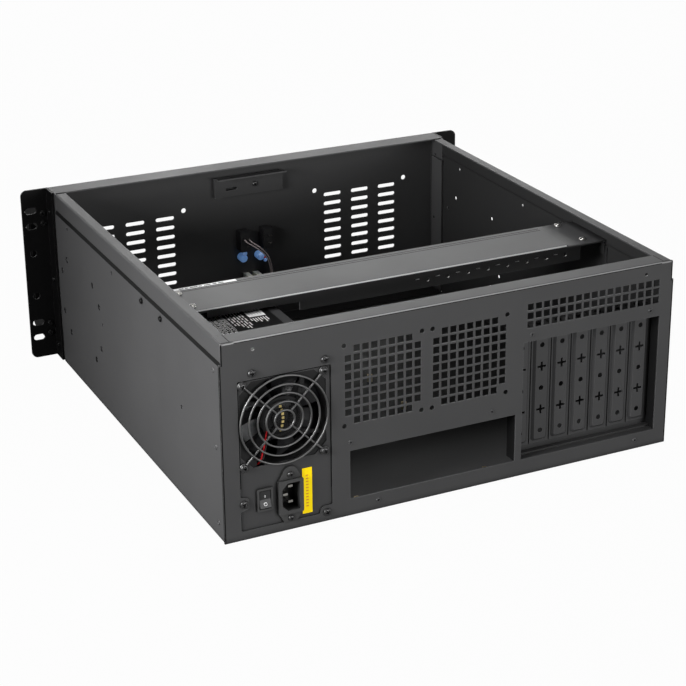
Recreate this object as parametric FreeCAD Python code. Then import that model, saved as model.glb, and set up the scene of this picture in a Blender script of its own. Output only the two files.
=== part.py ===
"""Empty 4U rackmount server case with its power supply, top cover off.

Frame: millimetres, +Z up.  The origin is the middle of the case floor's underside.
-Y is the front (rack ears and handles), +Y is the rear panel, and the power supply
stands in the +X rear corner.  "Left" and "right" are as seen from the front, so the
right ear is the one on +X.
"""
import FreeCAD, Part
import math
import os

Vector = FreeCAD.Vector

# ---------------------------------------------------------------- driving sizes
RACK_UNIT = 44.45            # height step of a 19 inch rack
RACK_WIDTH = 482.6           # over both ears
RACK_SLOT_INSET = 8.75       # from an ear's outer edge to its slots' centres
RACK_SLOT_SPACING = RACK_WIDTH - 2 * RACK_SLOT_INSET
EAR_REACH = 26.3             # how far an ear stands out beside the case
CASE_HEIGHT = 176.0
CASE_WIDTH = RACK_WIDTH - 2 * EAR_REACH
HALF = CASE_WIDTH / 2
CASE_DEPTH = 450.0
SHEET = 1.2                  # steel sheet of the case
BEND = 0.8                   # inside radius of a fold
SEAT_GAP = 0.2               # between two sheets that lie side by side

COVER_SEAT_STEP = 1.5        # the walls step in here, so the cover sits flush
COVER_SEAT_HEIGHT = 16.0
COVER_SEAT_SLOPE = 3.0
SIDE_LIP = 10.0              # folds along the top edges
REAR_LIP = 18.0
FRONT_LIP = 22.0
FRONT_PAN_DEPTH = 26.0       # the front panel's folded sides
LAP_DEPTH = 20.0             # where one sheet lies behind another's fold

EAR_SHEET = 2.0
EAR_FLANGE = 20.0
EAR_CORNER = 6.0
EAR_SLOT_LENGTH = 11.5
EAR_SLOT_WIDTH = 6.5
EAR_HOLE_RADIUS = 3.5
EAR_HOLE_SPACING = RACK_UNIT

HANDLE_WIDTH = 12.0
HANDLE_REACH = 42.0
HANDLE_BAR = 13.0
HANDLE_LEG = 22.0
HANDLE_CENTRES = 116.0       # between the legs' centres
HANDLE_SCREW_SPACING = 10.0
HANDLE_SEAT = 1.0            # from the ear's inner edge to the handle

SCREW_RADIUS = 1.5
SCREW_HEAD_RADIUS = 3.2
SCREW_HEAD = 2.0
RIVET_RADIUS = 2.3
RIVET_HEAD = 0.7
LABEL_SHEET = 0.15

# power supply
PSU_HEIGHT = 150.0
PSU_WIDTH = 86.0
PSU_DEPTH = 140.0
PSU_SHEET = 1.0
PSU_FROM_WALL = 10.4         # gap between its side and the case wall
PSU_SCREWS = ((6.0, 6.0), (6.0, PSU_HEIGHT - 6.0),
              (PSU_WIDTH - 16.0, PSU_HEIGHT - 6.0), (PSU_WIDTH - 6.0, 30.0))
PSU_OPENING_EDGE = (0.8, 3.2, 5.6, 11.2)   # panel edge inside the supply: -X, +X, bottom, top

FAN_SIDE_GAP = 3.0           # from the fan to the supply's outer faces
FAN_SIZE = PSU_WIDTH - 2 * FAN_SIDE_GAP
FAN_DEPTH = 25.0
FAN_SCREW_INSET = 4.25
FAN_SCREW_SPACING = FAN_SIZE - 2 * FAN_SCREW_INSET
FAN_DUCT_RADIUS = FAN_SIZE / 2 - 1.4
FAN_RIM = 4.0
FAN_HUB_RADIUS = 16.0
FAN_BLADES = 7
FAN_TIP_GAP = 0.9
FAN_SHAFT_RADIUS = 1.5
FAN_SHAFT_CLEARANCE = 0.05
FAN_ABOVE_PSU_BASE = 98.6
FAN_WINDOW = FAN_SIZE - 4.0  # flat to flat of the opening in the supply's back
FAN_WINDOW_CORNER = 10.5     # leg of its cut corners, which carry the screws
GUARD_WIRE = 0.9             # wire radius
GUARD_RINGS = 5
GUARD_INNER = 8.7            # radius of the smallest ring
GUARD_EYE = 3.4

INLET_SCREW_SPACING = 40.0
INLET_FROM_PSU_SIDE = 38.9
INLET_ABOVE_PSU_BASE = 28.8
INLET_WIDTH = 22.4
INLET_HEIGHT = 31.0
INLET_LOBE = 7.0
INLET_FLANGE = 2.0
INLET_BOSS = 3.6
INLET_DEPTH = 20.0
MOUTH_WIDTH = 16.0
MOUTH_HEIGHT = 25.0
MOUTH_CORNER = 5.0
MOUTH_DEPTH = 17.0
PIN_SPACING = 7.0
PIN_OFFSET = 3.0
PIN_WIDTH = 2.0
PIN_HEIGHT = 4.0
PIN_RECESS = 5.5

SWITCH_FROM_PSU_SIDE = 61.5
SWITCH_ABOVE_PSU_BASE = 30.4
SWITCH_WIDTH = 14.0
SWITCH_HEIGHT = 20.4
SWITCH_RIM = 1.8
SWITCH_RIM_DEPTH = 2.0
SWITCH_DEPTH = 14.0
ROCKER_TILT = 7.0
ROCKER_CLEARANCE = 0.4
ROCKER_PIN_RADIUS = 1.0
ROCKER_PIN_CLEARANCE = 0.05

# rear panel
GRILLE_PITCH = 8.0
GRILLE_SQUARE = 6.3
GRILLE_COUNT = 9
GRILLE_FANS = (70.7, -10.7)
GRILLE_HEIGHT = 118.9
FAN_HOLE_RADIUS = 2.2
STRIP_COLUMNS = 17
STRIP_ROWS = 3
STRIP_START = 145.6 - HALF   # its first column
STRIP_HEIGHT = 149.2
IO_WIDTH = 158.75
IO_HEIGHT = 44.45
IO_CENTRE = (22.3, 37.5)
COVER_HOLES = HALF - 29.0
REAR_RIVETS = ((HALF - 114.2, 67.4), (-33.2, 67.4), (143.4 - HALF, 131.9), (22.4 - HALF, 131.9),
               (75.5, 8.3), (32.5 - HALF, 8.3))

# expansion slots
SLOT_OPENING = (12.5 - HALF, 151.8 - HALF, 15.0, 125.6)    # x from, x to, z from, z to
SLOT_RECESS = 14.0
SLOT_PITCH = 20.32
SLOT_COUNT = 7
SLOT_FIRST = 146.6 - HALF    # middle of the first slot
SLOT_APERTURE = 12.6
SLOT_SHEET = 1.0
COVER_PLATE_WIDTH = 18.8
COVER_PLATE_FROM = 21.5
COVER_TAB = 11.0
COVER_RISE = 2.0
COVER_RAISED_WIDTH = 16.4
COVER_RAISED_SLOPE = 2.4
COVER_RAISED_CORNER = 3.2
COVER_RAISED_MARGIN = 2.0
COVER_HOLE_RADIUS = 2.35
COVER_HOLE_PITCH = 20.3
COVER_HOLE_START = 33.8
COVER_PLUS = 8.8
COVER_PLUS_ARM = 2.2

# front panel
VENT_CENTRE = 126.0          # of each vent group, from the case's middle
VENT_HEIGHT = 80.0
VENT_COLUMNS = 3
VENT_ROWS = 10
VENT_COLUMN_PITCH = 32.0
VENT_ROW_PITCH = 10.0
VENT_LENGTH = 20.0
VENT_WIDTH = 4.0
FRONT_FAN_SPACING = 105.0
FRONT_FAN_HEIGHT = 78.5
FRONT_FAN_HOLE = 2.6

# crossbar
BAR_REAR = 122.0             # its rear edge, as a place along the case
BAR_WIDTH = 61.0
BAR_TOP = CASE_HEIGHT - 11.8
BAR_FLANGE = 16.0
BAR_NOTCH_FLANGE = 8.0
BAR_NOTCH_TO = HALF - 116.0  # the flanges are lower from here on, over the supply
BAR_STEP = 1.4
BAR_STEP_WIDTH = 8.0
BAR_RAISED_END = 46.0 - HALF
BAR_END_GAP = 1.0
BAR_HOLE_RADIUS = 1.7
BAR_HOLES = 8
BAR_HOLE_START = -25.0
BRACKET_HEIGHT = 26.0
BRACKET_SHELF = 28.0

# front controls: x, z on the front panel
POWER_SWITCH = (11.0, 91.0)
RESET_SWITCH = (-14.2, 91.0)
CONTROL_BODY = (11.0, 12.0, 22.0)        # width, depth, height
BUTTON_RADIUS = 3.9
BUTTON_CLEARANCE = 0.3
BUTTON_PROUD = 2.5
BUTTON_COLLAR = 0.7
BUTTON_COLLAR_DEPTH = 1.0
BUTTON_STEM_RADIUS = 1.6
BUTTON_STEM = 5.0
BUTTON_STEM_CLEARANCE = 0.05
BUTTON_TRAVEL = 1.5
TERMINAL_LENGTH = 3.5
TERMINAL_RISE = 3.0
LED_PLACES = ((12.2, 71.5), (-7.0, 71.0))
LED_RADIUS = 2.5
LED_PROUD = 2.0
LED_HOLDER_RADIUS = 4.2
LED_HOLDER_LENGTH = 9.0
LED_HOLDER_EDGE = 1.2
USB_PLACES = (7.2, -3.5)
USB_HEIGHT = 46.0
USB_BODY = (5.8, 14.0, 13.2)             # width, depth, height
USB_WALL = 0.5
FRONT_BOARD = (-21.5, 13.0, 32.0, 46.0)  # x from, x to, z from, z to
BOARD_SHEET = 1.6
HEADER = (-20.5, -12.5, 35.0, 43.0)
HEADER_DEPTH = 5.0
CABLE_RADIUS = 1.2
LEAD_RADIUS = 0.6
LATCH_SCREW = (-3.0, 151.0)
LATCH_SPAN = (-34.0, 41.0, 141.0, 162.0)
LATCH_PROUD = 5.0            # its plate stands this far off the panel
LATCH_LIP = 13.0
LATCH_SLOT = (23.0, 149.0)

Y_REAR = CASE_DEPTH / 2
Y_FRONT = -CASE_DEPTH / 2
Y_PANEL = Y_REAR - SHEET                 # inner face of the rear panel
Y_WALL = Y_FRONT + FRONT_PAN_DEPTH       # front end of the side walls
SEAT_HALF = HALF - COVER_SEAT_STEP
SEAT_BASE = CASE_HEIGHT - COVER_SEAT_HEIGHT
FLOOR_TOP = SHEET
LAP_TOP = 2 * SHEET
INNER = HALF - SHEET
PAN_HALF = SEAT_HALF

PSU_X1 = INNER - PSU_FROM_WALL
PSU_X0 = PSU_X1 - PSU_WIDTH
PSU_Z0 = LAP_TOP
PSU_Z1 = PSU_Z0 + PSU_HEIGHT
PSU_Y1 = Y_PANEL
PSU_Y0 = PSU_Y1 - PSU_DEPTH
FAN_X = (PSU_X0 + PSU_X1) / 2
FAN_Z = PSU_Z0 + FAN_ABOVE_PSU_BASE
FAN_Y1 = PSU_Y1 - PSU_SHEET
FAN_Y0 = FAN_Y1 - FAN_DEPTH
INLET_X = PSU_X0 + INLET_FROM_PSU_SIDE
INLET_Z = PSU_Z0 + INLET_ABOVE_PSU_BASE
SWITCH_X = PSU_X0 + SWITCH_FROM_PSU_SIDE
SWITCH_Z = PSU_Z0 + SWITCH_ABOVE_PSU_BASE


# ---------------------------------------------------------------- shape helpers
def box(x0, x1, y0, y1, z0, z1):
    return Part.makeBox(x1 - x0, y1 - y0, z1 - z0, Vector(x0, y0, z0))


def rod(radius, start, end):
    """Round bar between two points."""
    line = Vector(*end) - Vector(*start)
    return Part.makeCylinder(radius, line.Length, Vector(*start), line)


def rod_y(radius, x, z, y0, y1):
    return rod(radius, (x, y0, z), (x, y1, z))


def place(axis, a, b, along):
    """A section's point (a, b) in space, at a distance along the section's axis."""
    return {"X": Vector(along, a, b), "Y": Vector(a, along, b), "Z": Vector(a, b, along)}[axis]


def corner_points(before, corner, after, radius):
    """Where a round corner starts, its middle and where it ends."""
    u = ((before[0] - corner[0]), (before[1] - corner[1]))
    v = ((after[0] - corner[0]), (after[1] - corner[1]))
    lu, lv = math.hypot(*u), math.hypot(*v)
    u, v = (u[0] / lu, u[1] / lu), (v[0] / lv, v[1] / lv)
    half = math.acos(max(-1.0, min(1.0, u[0] * v[0] + u[1] * v[1]))) / 2
    reach = radius / math.tan(half)
    start = (corner[0] + u[0] * reach, corner[1] + u[1] * reach)
    end = (corner[0] + v[0] * reach, corner[1] + v[1] * reach)
    middle = (u[0] + v[0], u[1] + v[1])
    size = math.hypot(*middle)
    away = radius / math.sin(half) - radius
    bow = (corner[0] + middle[0] / size * away, corner[1] + middle[1] / size * away)
    return start, bow, end


def outline(axis, along, points, radii=0.0):
    """Closed wire through points, with a radius at each corner."""
    if not isinstance(radii, (list, tuple)):
        radii = [radii] * len(points)
    edges = []
    joints = []
    for i, corner in enumerate(points):
        if radii[i] > 0:
            before, after = points[i - 1], points[(i + 1) % len(points)]
            start, bow, end = corner_points(before, corner, after, radii[i])
            arc = [place(axis, p[0], p[1], along) for p in (start, bow, end)]
            edges.append((arc[0], Part.Arc(*arc).toShape()))
            joints.append((arc[0], arc[2]))
        else:
            spot = place(axis, corner[0], corner[1], along)
            edges.append((spot, None))
            joints.append((spot, spot))
    run = []
    for i, (_, edge) in enumerate(edges):
        if edge is not None:
            run.append(edge)
        gap_start, gap_end = joints[i][1], joints[(i + 1) % len(joints)][0]
        if (gap_end - gap_start).Length > 1e-6:
            run.append(Part.LineSegment(gap_start, gap_end).toShape())
    return Part.Wire(run)


def prism(axis, start, end, points, radii=0.0):
    """Solid of a section swept straight along an axis."""
    face = Part.Face(outline(axis, start, points, radii))
    return face.extrude(place(axis, 0, 0, end - start))


def folded_sheet(axis, start, end, line, thickness, bend=BEND):
    """Sheet folded along an open line; its thickness lies to the line's left."""
    normals = []
    for (a0, b0), (a1, b1) in zip(line, line[1:]):
        length = math.hypot(a1 - a0, b1 - b0)
        normals.append((-(b1 - b0) / length, (a1 - a0) / length))
    other, radii, other_radii = [], [], []
    for i, (a, b) in enumerate(line):
        if i == 0 or i == len(line) - 1:
            n = normals[0 if i == 0 else -1]
            other.append((a + n[0] * thickness, b + n[1] * thickness))
            radii.append(0.0)
            other_radii.append(0.0)
            continue
        m, n = normals[i - 1], normals[i]
        scale = thickness / (1 + m[0] * n[0] + m[1] * n[1])
        other.append((a + (m[0] + n[0]) * scale, b + (m[1] + n[1]) * scale))
        turns_left = m[0] * n[1] - m[1] * n[0] > 0
        radii.append(bend + thickness if turns_left else bend)
        other_radii.append(bend if turns_left else bend + thickness)
    return prism(axis, start, end, line + other[::-1], radii + other_radii[::-1])


def rectangle(a0, a1, b0, b1):
    return [(a0, b0), (a1, b0), (a1, b1), (a0, b1)]


def slot(axis, start, end, a, b, length, width):
    """Round-ended slot, long along the section's first direction."""
    corners = rectangle(a - length / 2, a + length / 2, b - width / 2, b + width / 2)
    return prism(axis, start, end, corners, width / 2 * 0.999)


def fuse(shapes):
    shapes = list(shapes)
    return shapes[0].multiFuse(shapes[1:]).removeSplitter() if len(shapes) > 1 else shapes[0]


def cut(shape, tools):
    return shape.cut(Part.makeCompound(list(tools)))


def group(shapes):
    return Part.makeCompound(list(shapes))


def mirror_x(shape):
    return shape.mirror(Vector(0, 0, 0), Vector(1, 0, 0))


def pan_screw(x, y, z, direction, length, radius=SCREW_RADIUS, head=SCREW_HEAD_RADIUS):
    """Pan-head screw whose head seats at (x, y, z) and whose shank points along direction."""
    d = Vector(*direction)
    seat = Vector(x, y, z)
    shank = Part.makeCylinder(radius, length, seat, d)
    cap = Part.makeCylinder(head, SCREW_HEAD, seat - d * SCREW_HEAD, d)
    rim = [edge for edge in cap.Edges
           if edge.Curve.TypeId == "Part::GeomCircle"
           and (edge.Curve.Center - (seat - d * SCREW_HEAD)).Length < 1e-6]
    cap = cap.makeChamfer(SCREW_HEAD * 0.4, rim)
    return shank.fuse(cap)


def rivet(x, y, z, direction):
    """Low round rivet head that stands out of a face, along direction."""
    d = Vector(*direction)
    disc = Part.makeCylinder(RIVET_RADIUS, RIVET_HEAD, Vector(x, y, z), d)
    return disc


# ---------------------------------------------------------------- the case
WALL_SCREW_HEIGHT = SEAT_BASE - 8.8
WALL_SCREWS = (47.0, 94.0)               # along the case: the crossbar brackets' screws
DRIVE_HOLES = ((-170.0, 118.0), (-187.0, 102.0), (-187.0, 60.0), (-170.0, 43.0),
               (-93.0, 118.0), (-76.0, 102.0), (-76.0, 60.0), (-93.0, 43.0))
DRIVE_HOLE_RADIUS = 1.7
DRIVE_DIMPLE_RADIUS = 3.0
SIDE_HOLES = ((-163.0, 151.6), (-68.5, 87.0), (-33.0, 150.3), (135.6, 86.7))
SIDE_RIVETS = (150.2, 82.6, 14.6)
SIDE_RIVET_INSET = 12.5
REAR_SIDE_LIP = 24.0
EAR_SCREWS = (154.5, 84.0, 14.5)
EAR_SCREW_Y = Y_FRONT + EAR_FLANGE * 0.55


def chassis_tub():
    """Floor and both side walls, folded from one sheet."""
    line = [(-SEAT_HALF + SIDE_LIP, CASE_HEIGHT), (-SEAT_HALF, CASE_HEIGHT),
            (-SEAT_HALF, SEAT_BASE), (-HALF, SEAT_BASE - COVER_SEAT_SLOPE), (-HALF, 0)]
    line += [(-x, z) for x, z in reversed(line)]
    tub = folded_sheet("Y", Y_WALL, Y_PANEL, line, SHEET)
    lip_end = Y_REAR - REAR_LIP - SEAT_GAP
    lips = box(-SEAT_HALF + SHEET, SEAT_HALF - SHEET, lip_end, Y_PANEL,
               CASE_HEIGHT - SHEET * 1.5, CASE_HEIGHT)
    # tongues that reach forward behind the front panel's folded sides
    lap_x = PAN_HALF - SHEET
    lap_y = Y_WALL - LAP_DEPTH
    lap_z = (LAP_TOP + SEAT_GAP, SEAT_BASE - 8)
    side_tongue = box(lap_x - SHEET, lap_x, lap_y, Y_WALL + SHEET, *lap_z)
    side_step = box(lap_x - SHEET, INNER, Y_WALL, Y_WALL + SHEET, *lap_z)
    floor_tongue = box(-lap_x + SHEET, lap_x - SHEET, lap_y, Y_WALL + SHEET, FLOOR_TOP, LAP_TOP)
    tongues = [side_tongue, side_step]
    tub = fuse([tub.cut(lips), floor_tongue] + tongues + [mirror_x(tongue) for tongue in tongues])
    holes = []
    for y, z in DRIVE_HOLES:
        holes.append(rod(DRIVE_HOLE_RADIUS, (HALF - 2 * SHEET, y, z), (HALF + SHEET, y, z)))
        dimple = Part.makeCone(DRIVE_DIMPLE_RADIUS, DRIVE_HOLE_RADIUS, SHEET * 0.6,
                               Vector(HALF, y, z), Vector(-1, 0, 0))
        holes.append(dimple)
    for y, z in SIDE_HOLES:
        holes.append(rod(DRIVE_HOLE_RADIUS, (HALF - 2 * SHEET, y, z), (HALF + SHEET, y, z)))
    for y in WALL_SCREWS:
        holes.append(rod(SCREW_RADIUS, (HALF - 2 * SHEET, y, WALL_SCREW_HEIGHT),
                         (HALF + SHEET, y, WALL_SCREW_HEIGHT)))
    for z in EAR_SCREWS:
        holes.append(rod(SCREW_RADIUS, (lap_x - 2 * SHEET, EAR_SCREW_Y, z),
                         (lap_x + SHEET, EAR_SCREW_Y, z)))
    return cut(tub, holes + [mirror_x(hole) for hole in holes])


def psu_cut_out():
    """Opening in the rear panel that shows the power supply's back, with two screw tongues."""
    left, right, low, high = PSU_OPENING_EDGE
    x0, x1 = PSU_X0 + left, PSU_X1 - right
    z0, z1 = PSU_Z0 + low, PSU_Z1 - high
    screws = psu_screw_places()
    corner_x = screws[0][0] + 6.0
    corner_z = screws[0][1] + 6.0
    side_z = screws[3][1]
    side_x = screws[3][0] - 4.6
    tongue = 6.6
    points = [(corner_x, z0), (x1, z0), (x1, side_z - tongue), (side_x, side_z - tongue * 0.75),
              (side_x, side_z + tongue * 0.75), (x1, side_z + tongue), (x1, z1), (x0, z1),
              (x0, corner_z), (corner_x, corner_z)]
    radii = [1.5, 1, 1, 3, 3, 1, 1, 1, 1.5, 4]
    return prism("Y", Y_PANEL - SHEET, Y_REAR + SHEET, points, radii)


def psu_screw_places():
    """Standard hole pattern of the supply's back; it stands on one long side."""
    return [(PSU_X0 + dx, PSU_Z0 + dz) for dx, dz in PSU_SCREWS]


def square_hole(x, z):
    h = GRILLE_SQUARE / 2
    return box(x - h, x + h, Y_PANEL - SHEET, Y_REAR + SHEET, z - h, z + h)


def grille(centre_x):
    """Square holes in rows, without the four corner ones, and the fan's four screw holes."""
    last = GRILLE_COUNT - 1
    holes = []
    for i in range(GRILLE_COUNT):
        for j in range(GRILLE_COUNT):
            if i in (0, last) and j in (0, last):
                continue
            holes.append(square_hole(centre_x + (i - last / 2) * GRILLE_PITCH,
                                     GRILLE_HEIGHT + (j - last / 2) * GRILLE_PITCH))
    reach = FAN_SCREW_SPACING / 2
    for sx in (-1, 1):
        for sz in (-1, 1):
            holes.append(rod_y(FAN_HOLE_RADIUS, centre_x + sx * reach, GRILLE_HEIGHT + sz * reach,
                               Y_PANEL - SHEET, Y_REAR + SHEET))
    return holes


def rear_panel():
    """Rear panel with its top, side and bottom folds."""
    line = [(Y_REAR - REAR_LIP, CASE_HEIGHT), (Y_REAR, CASE_HEIGHT), (Y_REAR, 0)]
    panel = folded_sheet("X", -HALF, HALF, line[::-1], SHEET)
    trim = box(SEAT_HALF, HALF + SHEET, Y_REAR - REAR_LIP - SHEET, Y_REAR + SHEET,
               SEAT_BASE - COVER_SEAT_SLOPE / 2, CASE_HEIGHT + SHEET)
    lip_trim = box(SEAT_HALF - SHEET - SEAT_GAP, HALF + SHEET, Y_REAR - REAR_LIP - SHEET, Y_PANEL,
                   CASE_HEIGHT - 2 * SHEET, CASE_HEIGHT + SHEET)
    side_lip = box(INNER - SHEET, INNER, Y_REAR - REAR_SIDE_LIP, Y_PANEL,
                   LAP_TOP, SEAT_BASE - COVER_SEAT_SLOPE - SHEET)
    bottom_lip = box(-INNER + BEND, INNER - BEND, Y_REAR - REAR_LIP, Y_PANEL, FLOOR_TOP, LAP_TOP)
    panel = fuse([panel, side_lip, mirror_x(side_lip), bottom_lip])
    tools = [trim, mirror_x(trim), lip_trim, mirror_x(lip_trim), psu_cut_out()]
    for x, z in psu_screw_places():
        tools.append(rod_y(SCREW_RADIUS, x, z, Y_PANEL - SHEET, Y_REAR + SHEET))
    for centre in GRILLE_FANS:
        tools += grille(centre)
    for i in range(STRIP_COLUMNS):
        for j in range(STRIP_ROWS):
            tools.append(square_hole(STRIP_START - i * GRILLE_PITCH,
                                     STRIP_HEIGHT + (j - (STRIP_ROWS - 1) / 2) * GRILLE_PITCH))
    x, z = IO_CENTRE
    tools.append(box(x - IO_WIDTH / 2, x + IO_WIDTH / 2, Y_PANEL - SHEET, Y_REAR + SHEET,
                     z - IO_HEIGHT / 2, z + IO_HEIGHT / 2))
    x0, x1, z0, z1 = SLOT_OPENING
    tools.append(box(x0, x1, Y_PANEL - SHEET, Y_REAR + SHEET, z0, z1))
    for side in (-1, 1):
        tools.append(rod_y(SCREW_RADIUS, side * COVER_HOLES, CASE_HEIGHT - 9.0,
                           Y_PANEL - SHEET, Y_REAR + SHEET))
    return cut(panel, tools)


def front_panel():
    """Front panel, a shallow pan: its four edges are folded back."""
    face = box(-PAN_HALF, PAN_HALF, Y_FRONT, Y_FRONT + SHEET, 0, CASE_HEIGHT)
    top = box(-PAN_HALF, PAN_HALF, Y_FRONT, Y_FRONT + FRONT_LIP, CASE_HEIGHT - SHEET, CASE_HEIGHT)
    bottom = box(-PAN_HALF, PAN_HALF, Y_FRONT, Y_WALL - SEAT_GAP, 0, SHEET)
    side = box(PAN_HALF - SHEET, PAN_HALF, Y_FRONT, Y_WALL - SEAT_GAP, 0, CASE_HEIGHT)
    pan = fuse([face, top, bottom, side, mirror_x(side)])
    folds = [edge for edge in pan.Edges
             if abs(edge.BoundBox.YMin - Y_FRONT) < 1e-6 and edge.BoundBox.YLength < 1e-6
             and (edge.BoundBox.XLength > CASE_WIDTH / 2 or edge.BoundBox.ZLength > CASE_HEIGHT / 2)]
    pan = pan.makeFillet(BEND, folds)
    through = (Y_FRONT - SHEET, Y_FRONT + 2 * SHEET)
    tools = []
    for side_sign in (-1, 1):
        for i in range(VENT_COLUMNS):
            x = side_sign * VENT_CENTRE + (i - (VENT_COLUMNS - 1) / 2) * VENT_COLUMN_PITCH
            for j in range(VENT_ROWS):
                z = VENT_HEIGHT + (j - (VENT_ROWS - 1) / 2) * VENT_ROW_PITCH
                tools.append(slot("Y", *through, x, z, VENT_LENGTH, VENT_WIDTH))
        for sx in (-1, 1):
            for sz in (-1, 1):
                x = side_sign * VENT_CENTRE + sx * FRONT_FAN_SPACING / 2
                z = FRONT_FAN_HEIGHT + sz * FRONT_FAN_SPACING / 2
                tools.append(rod_y(FRONT_FAN_HOLE, x, z, *through))
    for x, z in (POWER_SWITCH, RESET_SWITCH):
        tools.append(rod_y(BUTTON_RADIUS + BUTTON_CLEARANCE, x, z, *through))
    for x, z in LED_PLACES:
        tools.append(rod_y(LED_RADIUS, x, z, *through))
    width, _, height = USB_BODY
    for x in USB_PLACES:
        tools.append(box(x - width / 2, x + width / 2, *through,
                         USB_HEIGHT - height / 2, USB_HEIGHT + height / 2))
    tools.append(rod_y(SCREW_RADIUS, *LATCH_SCREW, *through))
    for z in EAR_SCREWS:
        tools.append(rod(SCREW_RADIUS, (-PAN_HALF - SHEET, EAR_SCREW_Y, z),
                         (PAN_HALF + SHEET, EAR_SCREW_Y, z)))
    return cut(pan, tools)


def handle_screw_places():
    middle = CASE_HEIGHT / 2
    return [middle + leg * HANDLE_CENTRES / 2 + end * HANDLE_SCREW_SPACING / 2
            for leg in (-1, 1) for end in (-1, 1)]


EAR_X0 = PAN_HALF + SEAT_GAP
HANDLE_X0 = EAR_X0 + HANDLE_SEAT
HANDLE_X = HANDLE_X0 + HANDLE_WIDTH / 2
EAR_SLOT_X = RACK_SLOT_SPACING / 2
EAR_SLOT_OFFSETS = (1.5 * RACK_UNIT, 1.5 * RACK_UNIT - 15.875)   # rack holes above and below the middle


def rack_ear():
    """Right ear: an angle with the rack slots, screwed to the side of the front panel."""
    half = RACK_WIDTH / 2
    plate = prism("Y", Y_FRONT, Y_FRONT + EAR_SHEET,
                  rectangle(EAR_X0, half, 0, CASE_HEIGHT), [0, EAR_CORNER, EAR_CORNER, 0])
    flange = box(EAR_X0, EAR_X0 + EAR_SHEET, Y_FRONT, Y_FRONT + EAR_FLANGE, 0, CASE_HEIGHT)
    ear = fuse([plate, flange])
    middle = CASE_HEIGHT / 2
    through = (Y_FRONT - SHEET, Y_FRONT + 2 * EAR_SHEET)
    tools = []
    for sign in (-1, 1):
        for offset in EAR_SLOT_OFFSETS:
            tools.append(slot("Y", *through, EAR_SLOT_X, middle + sign * offset,
                              EAR_SLOT_LENGTH, EAR_SLOT_WIDTH))
        tools.append(rod_y(EAR_HOLE_RADIUS, EAR_SLOT_X, middle + sign * EAR_HOLE_SPACING / 2, *through))
    for z in handle_screw_places():
        tools.append(rod_y(SCREW_RADIUS, HANDLE_X, z, *through))
    for z in EAR_SCREWS:
        tools.append(rod(SCREW_RADIUS, (EAR_X0 - SHEET, EAR_SCREW_Y, z),
                         (EAR_X0 + 2 * EAR_SHEET, EAR_SCREW_Y, z)))
    return cut(ear, tools)


def handle():
    """Right handle: a moulded grip with two broad legs."""
    middle = CASE_HEIGHT / 2
    reach = HANDLE_CENTRES / 2 + HANDLE_LEG / 2
    y0 = Y_FRONT - HANDLE_REACH
    outer = prism("X", HANDLE_X0, HANDLE_X0 + HANDLE_WIDTH,
                  rectangle(y0, Y_FRONT, middle - reach, middle + reach), [14.0, 1.0, 1.0, 14.0])
    inner_reach = reach - HANDLE_LEG
    grip = prism("X", HANDLE_X0 - 1, HANDLE_X0 + HANDLE_WIDTH + 1,
                 rectangle(y0 + HANDLE_BAR, Y_FRONT + 1, middle - inner_reach, middle + inner_reach),
                 [9.0, 0, 0, 9.0])
    body = outer.cut(grip)
    rims = [edge for edge in body.Edges
            if edge.BoundBox.XLength < 1e-6 and edge.BoundBox.YMax < Y_FRONT - 0.5]
    body = body.makeChamfer(1.6, rims)
    blind = [rod_y(SCREW_RADIUS, HANDLE_X, z, Y_FRONT - 9, Y_FRONT) for z in handle_screw_places()]
    return cut(body, blind)


def side_screws():
    """Small screws in both sides: three through each ear, two into each crossbar bracket."""
    ear_x = EAR_X0 + EAR_SHEET
    right = [pan_screw(ear_x, EAR_SCREW_Y, z, (-1, 0, 0), 6.0, head=2.6) for z in EAR_SCREWS]
    right += [pan_screw(HALF, y, WALL_SCREW_HEIGHT, (-1, 0, 0), 6.0, head=2.6) for y in WALL_SCREWS]
    return group(right + [mirror_x(screw) for screw in right])


def handle_screws():
    right = [pan_screw(HANDLE_X, Y_FRONT + EAR_SHEET, z, (0, -1, 0), 8.0) for z in handle_screw_places()]
    return group(right + [mirror_x(screw) for screw in right])


def rivets():
    """Rivet heads that hold the rear panel's folds and the slot frame."""
    y = Y_REAR - SIDE_RIVET_INSET
    heads = [rivet(side * HALF, y, z, (side, 0, 0)) for side in (-1, 1) for z in SIDE_RIVETS]
    heads += [rivet(x, Y_REAR, z, (0, 1, 0)) for x, z in REAR_RIVETS]
    return group(heads)


# ---------------------------------------------------------------- crossbar
BAR_FRONT = BAR_REAR - BAR_WIDTH
BAR_END = INNER - SHEET - BAR_END_GAP
BAR_UNDER = BAR_TOP - SHEET
BRACKET_FRONT = WALL_SCREWS[0] - 8.0
BAR_SCREW_X = HALF - 22.5
BAR_SCREWS = {1: (BAR_FRONT + 17.0, BAR_REAR - 11.0),    # by end: +X, and the lowered -X one
              -1: (BAR_FRONT + 6.0, BAR_REAR - 11.0)}
SHELF_FRONT = {1: BAR_FRONT + BAR_STEP_WIDTH + BAR_STEP + 1.0, -1: BAR_FRONT + 2.0}


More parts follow.
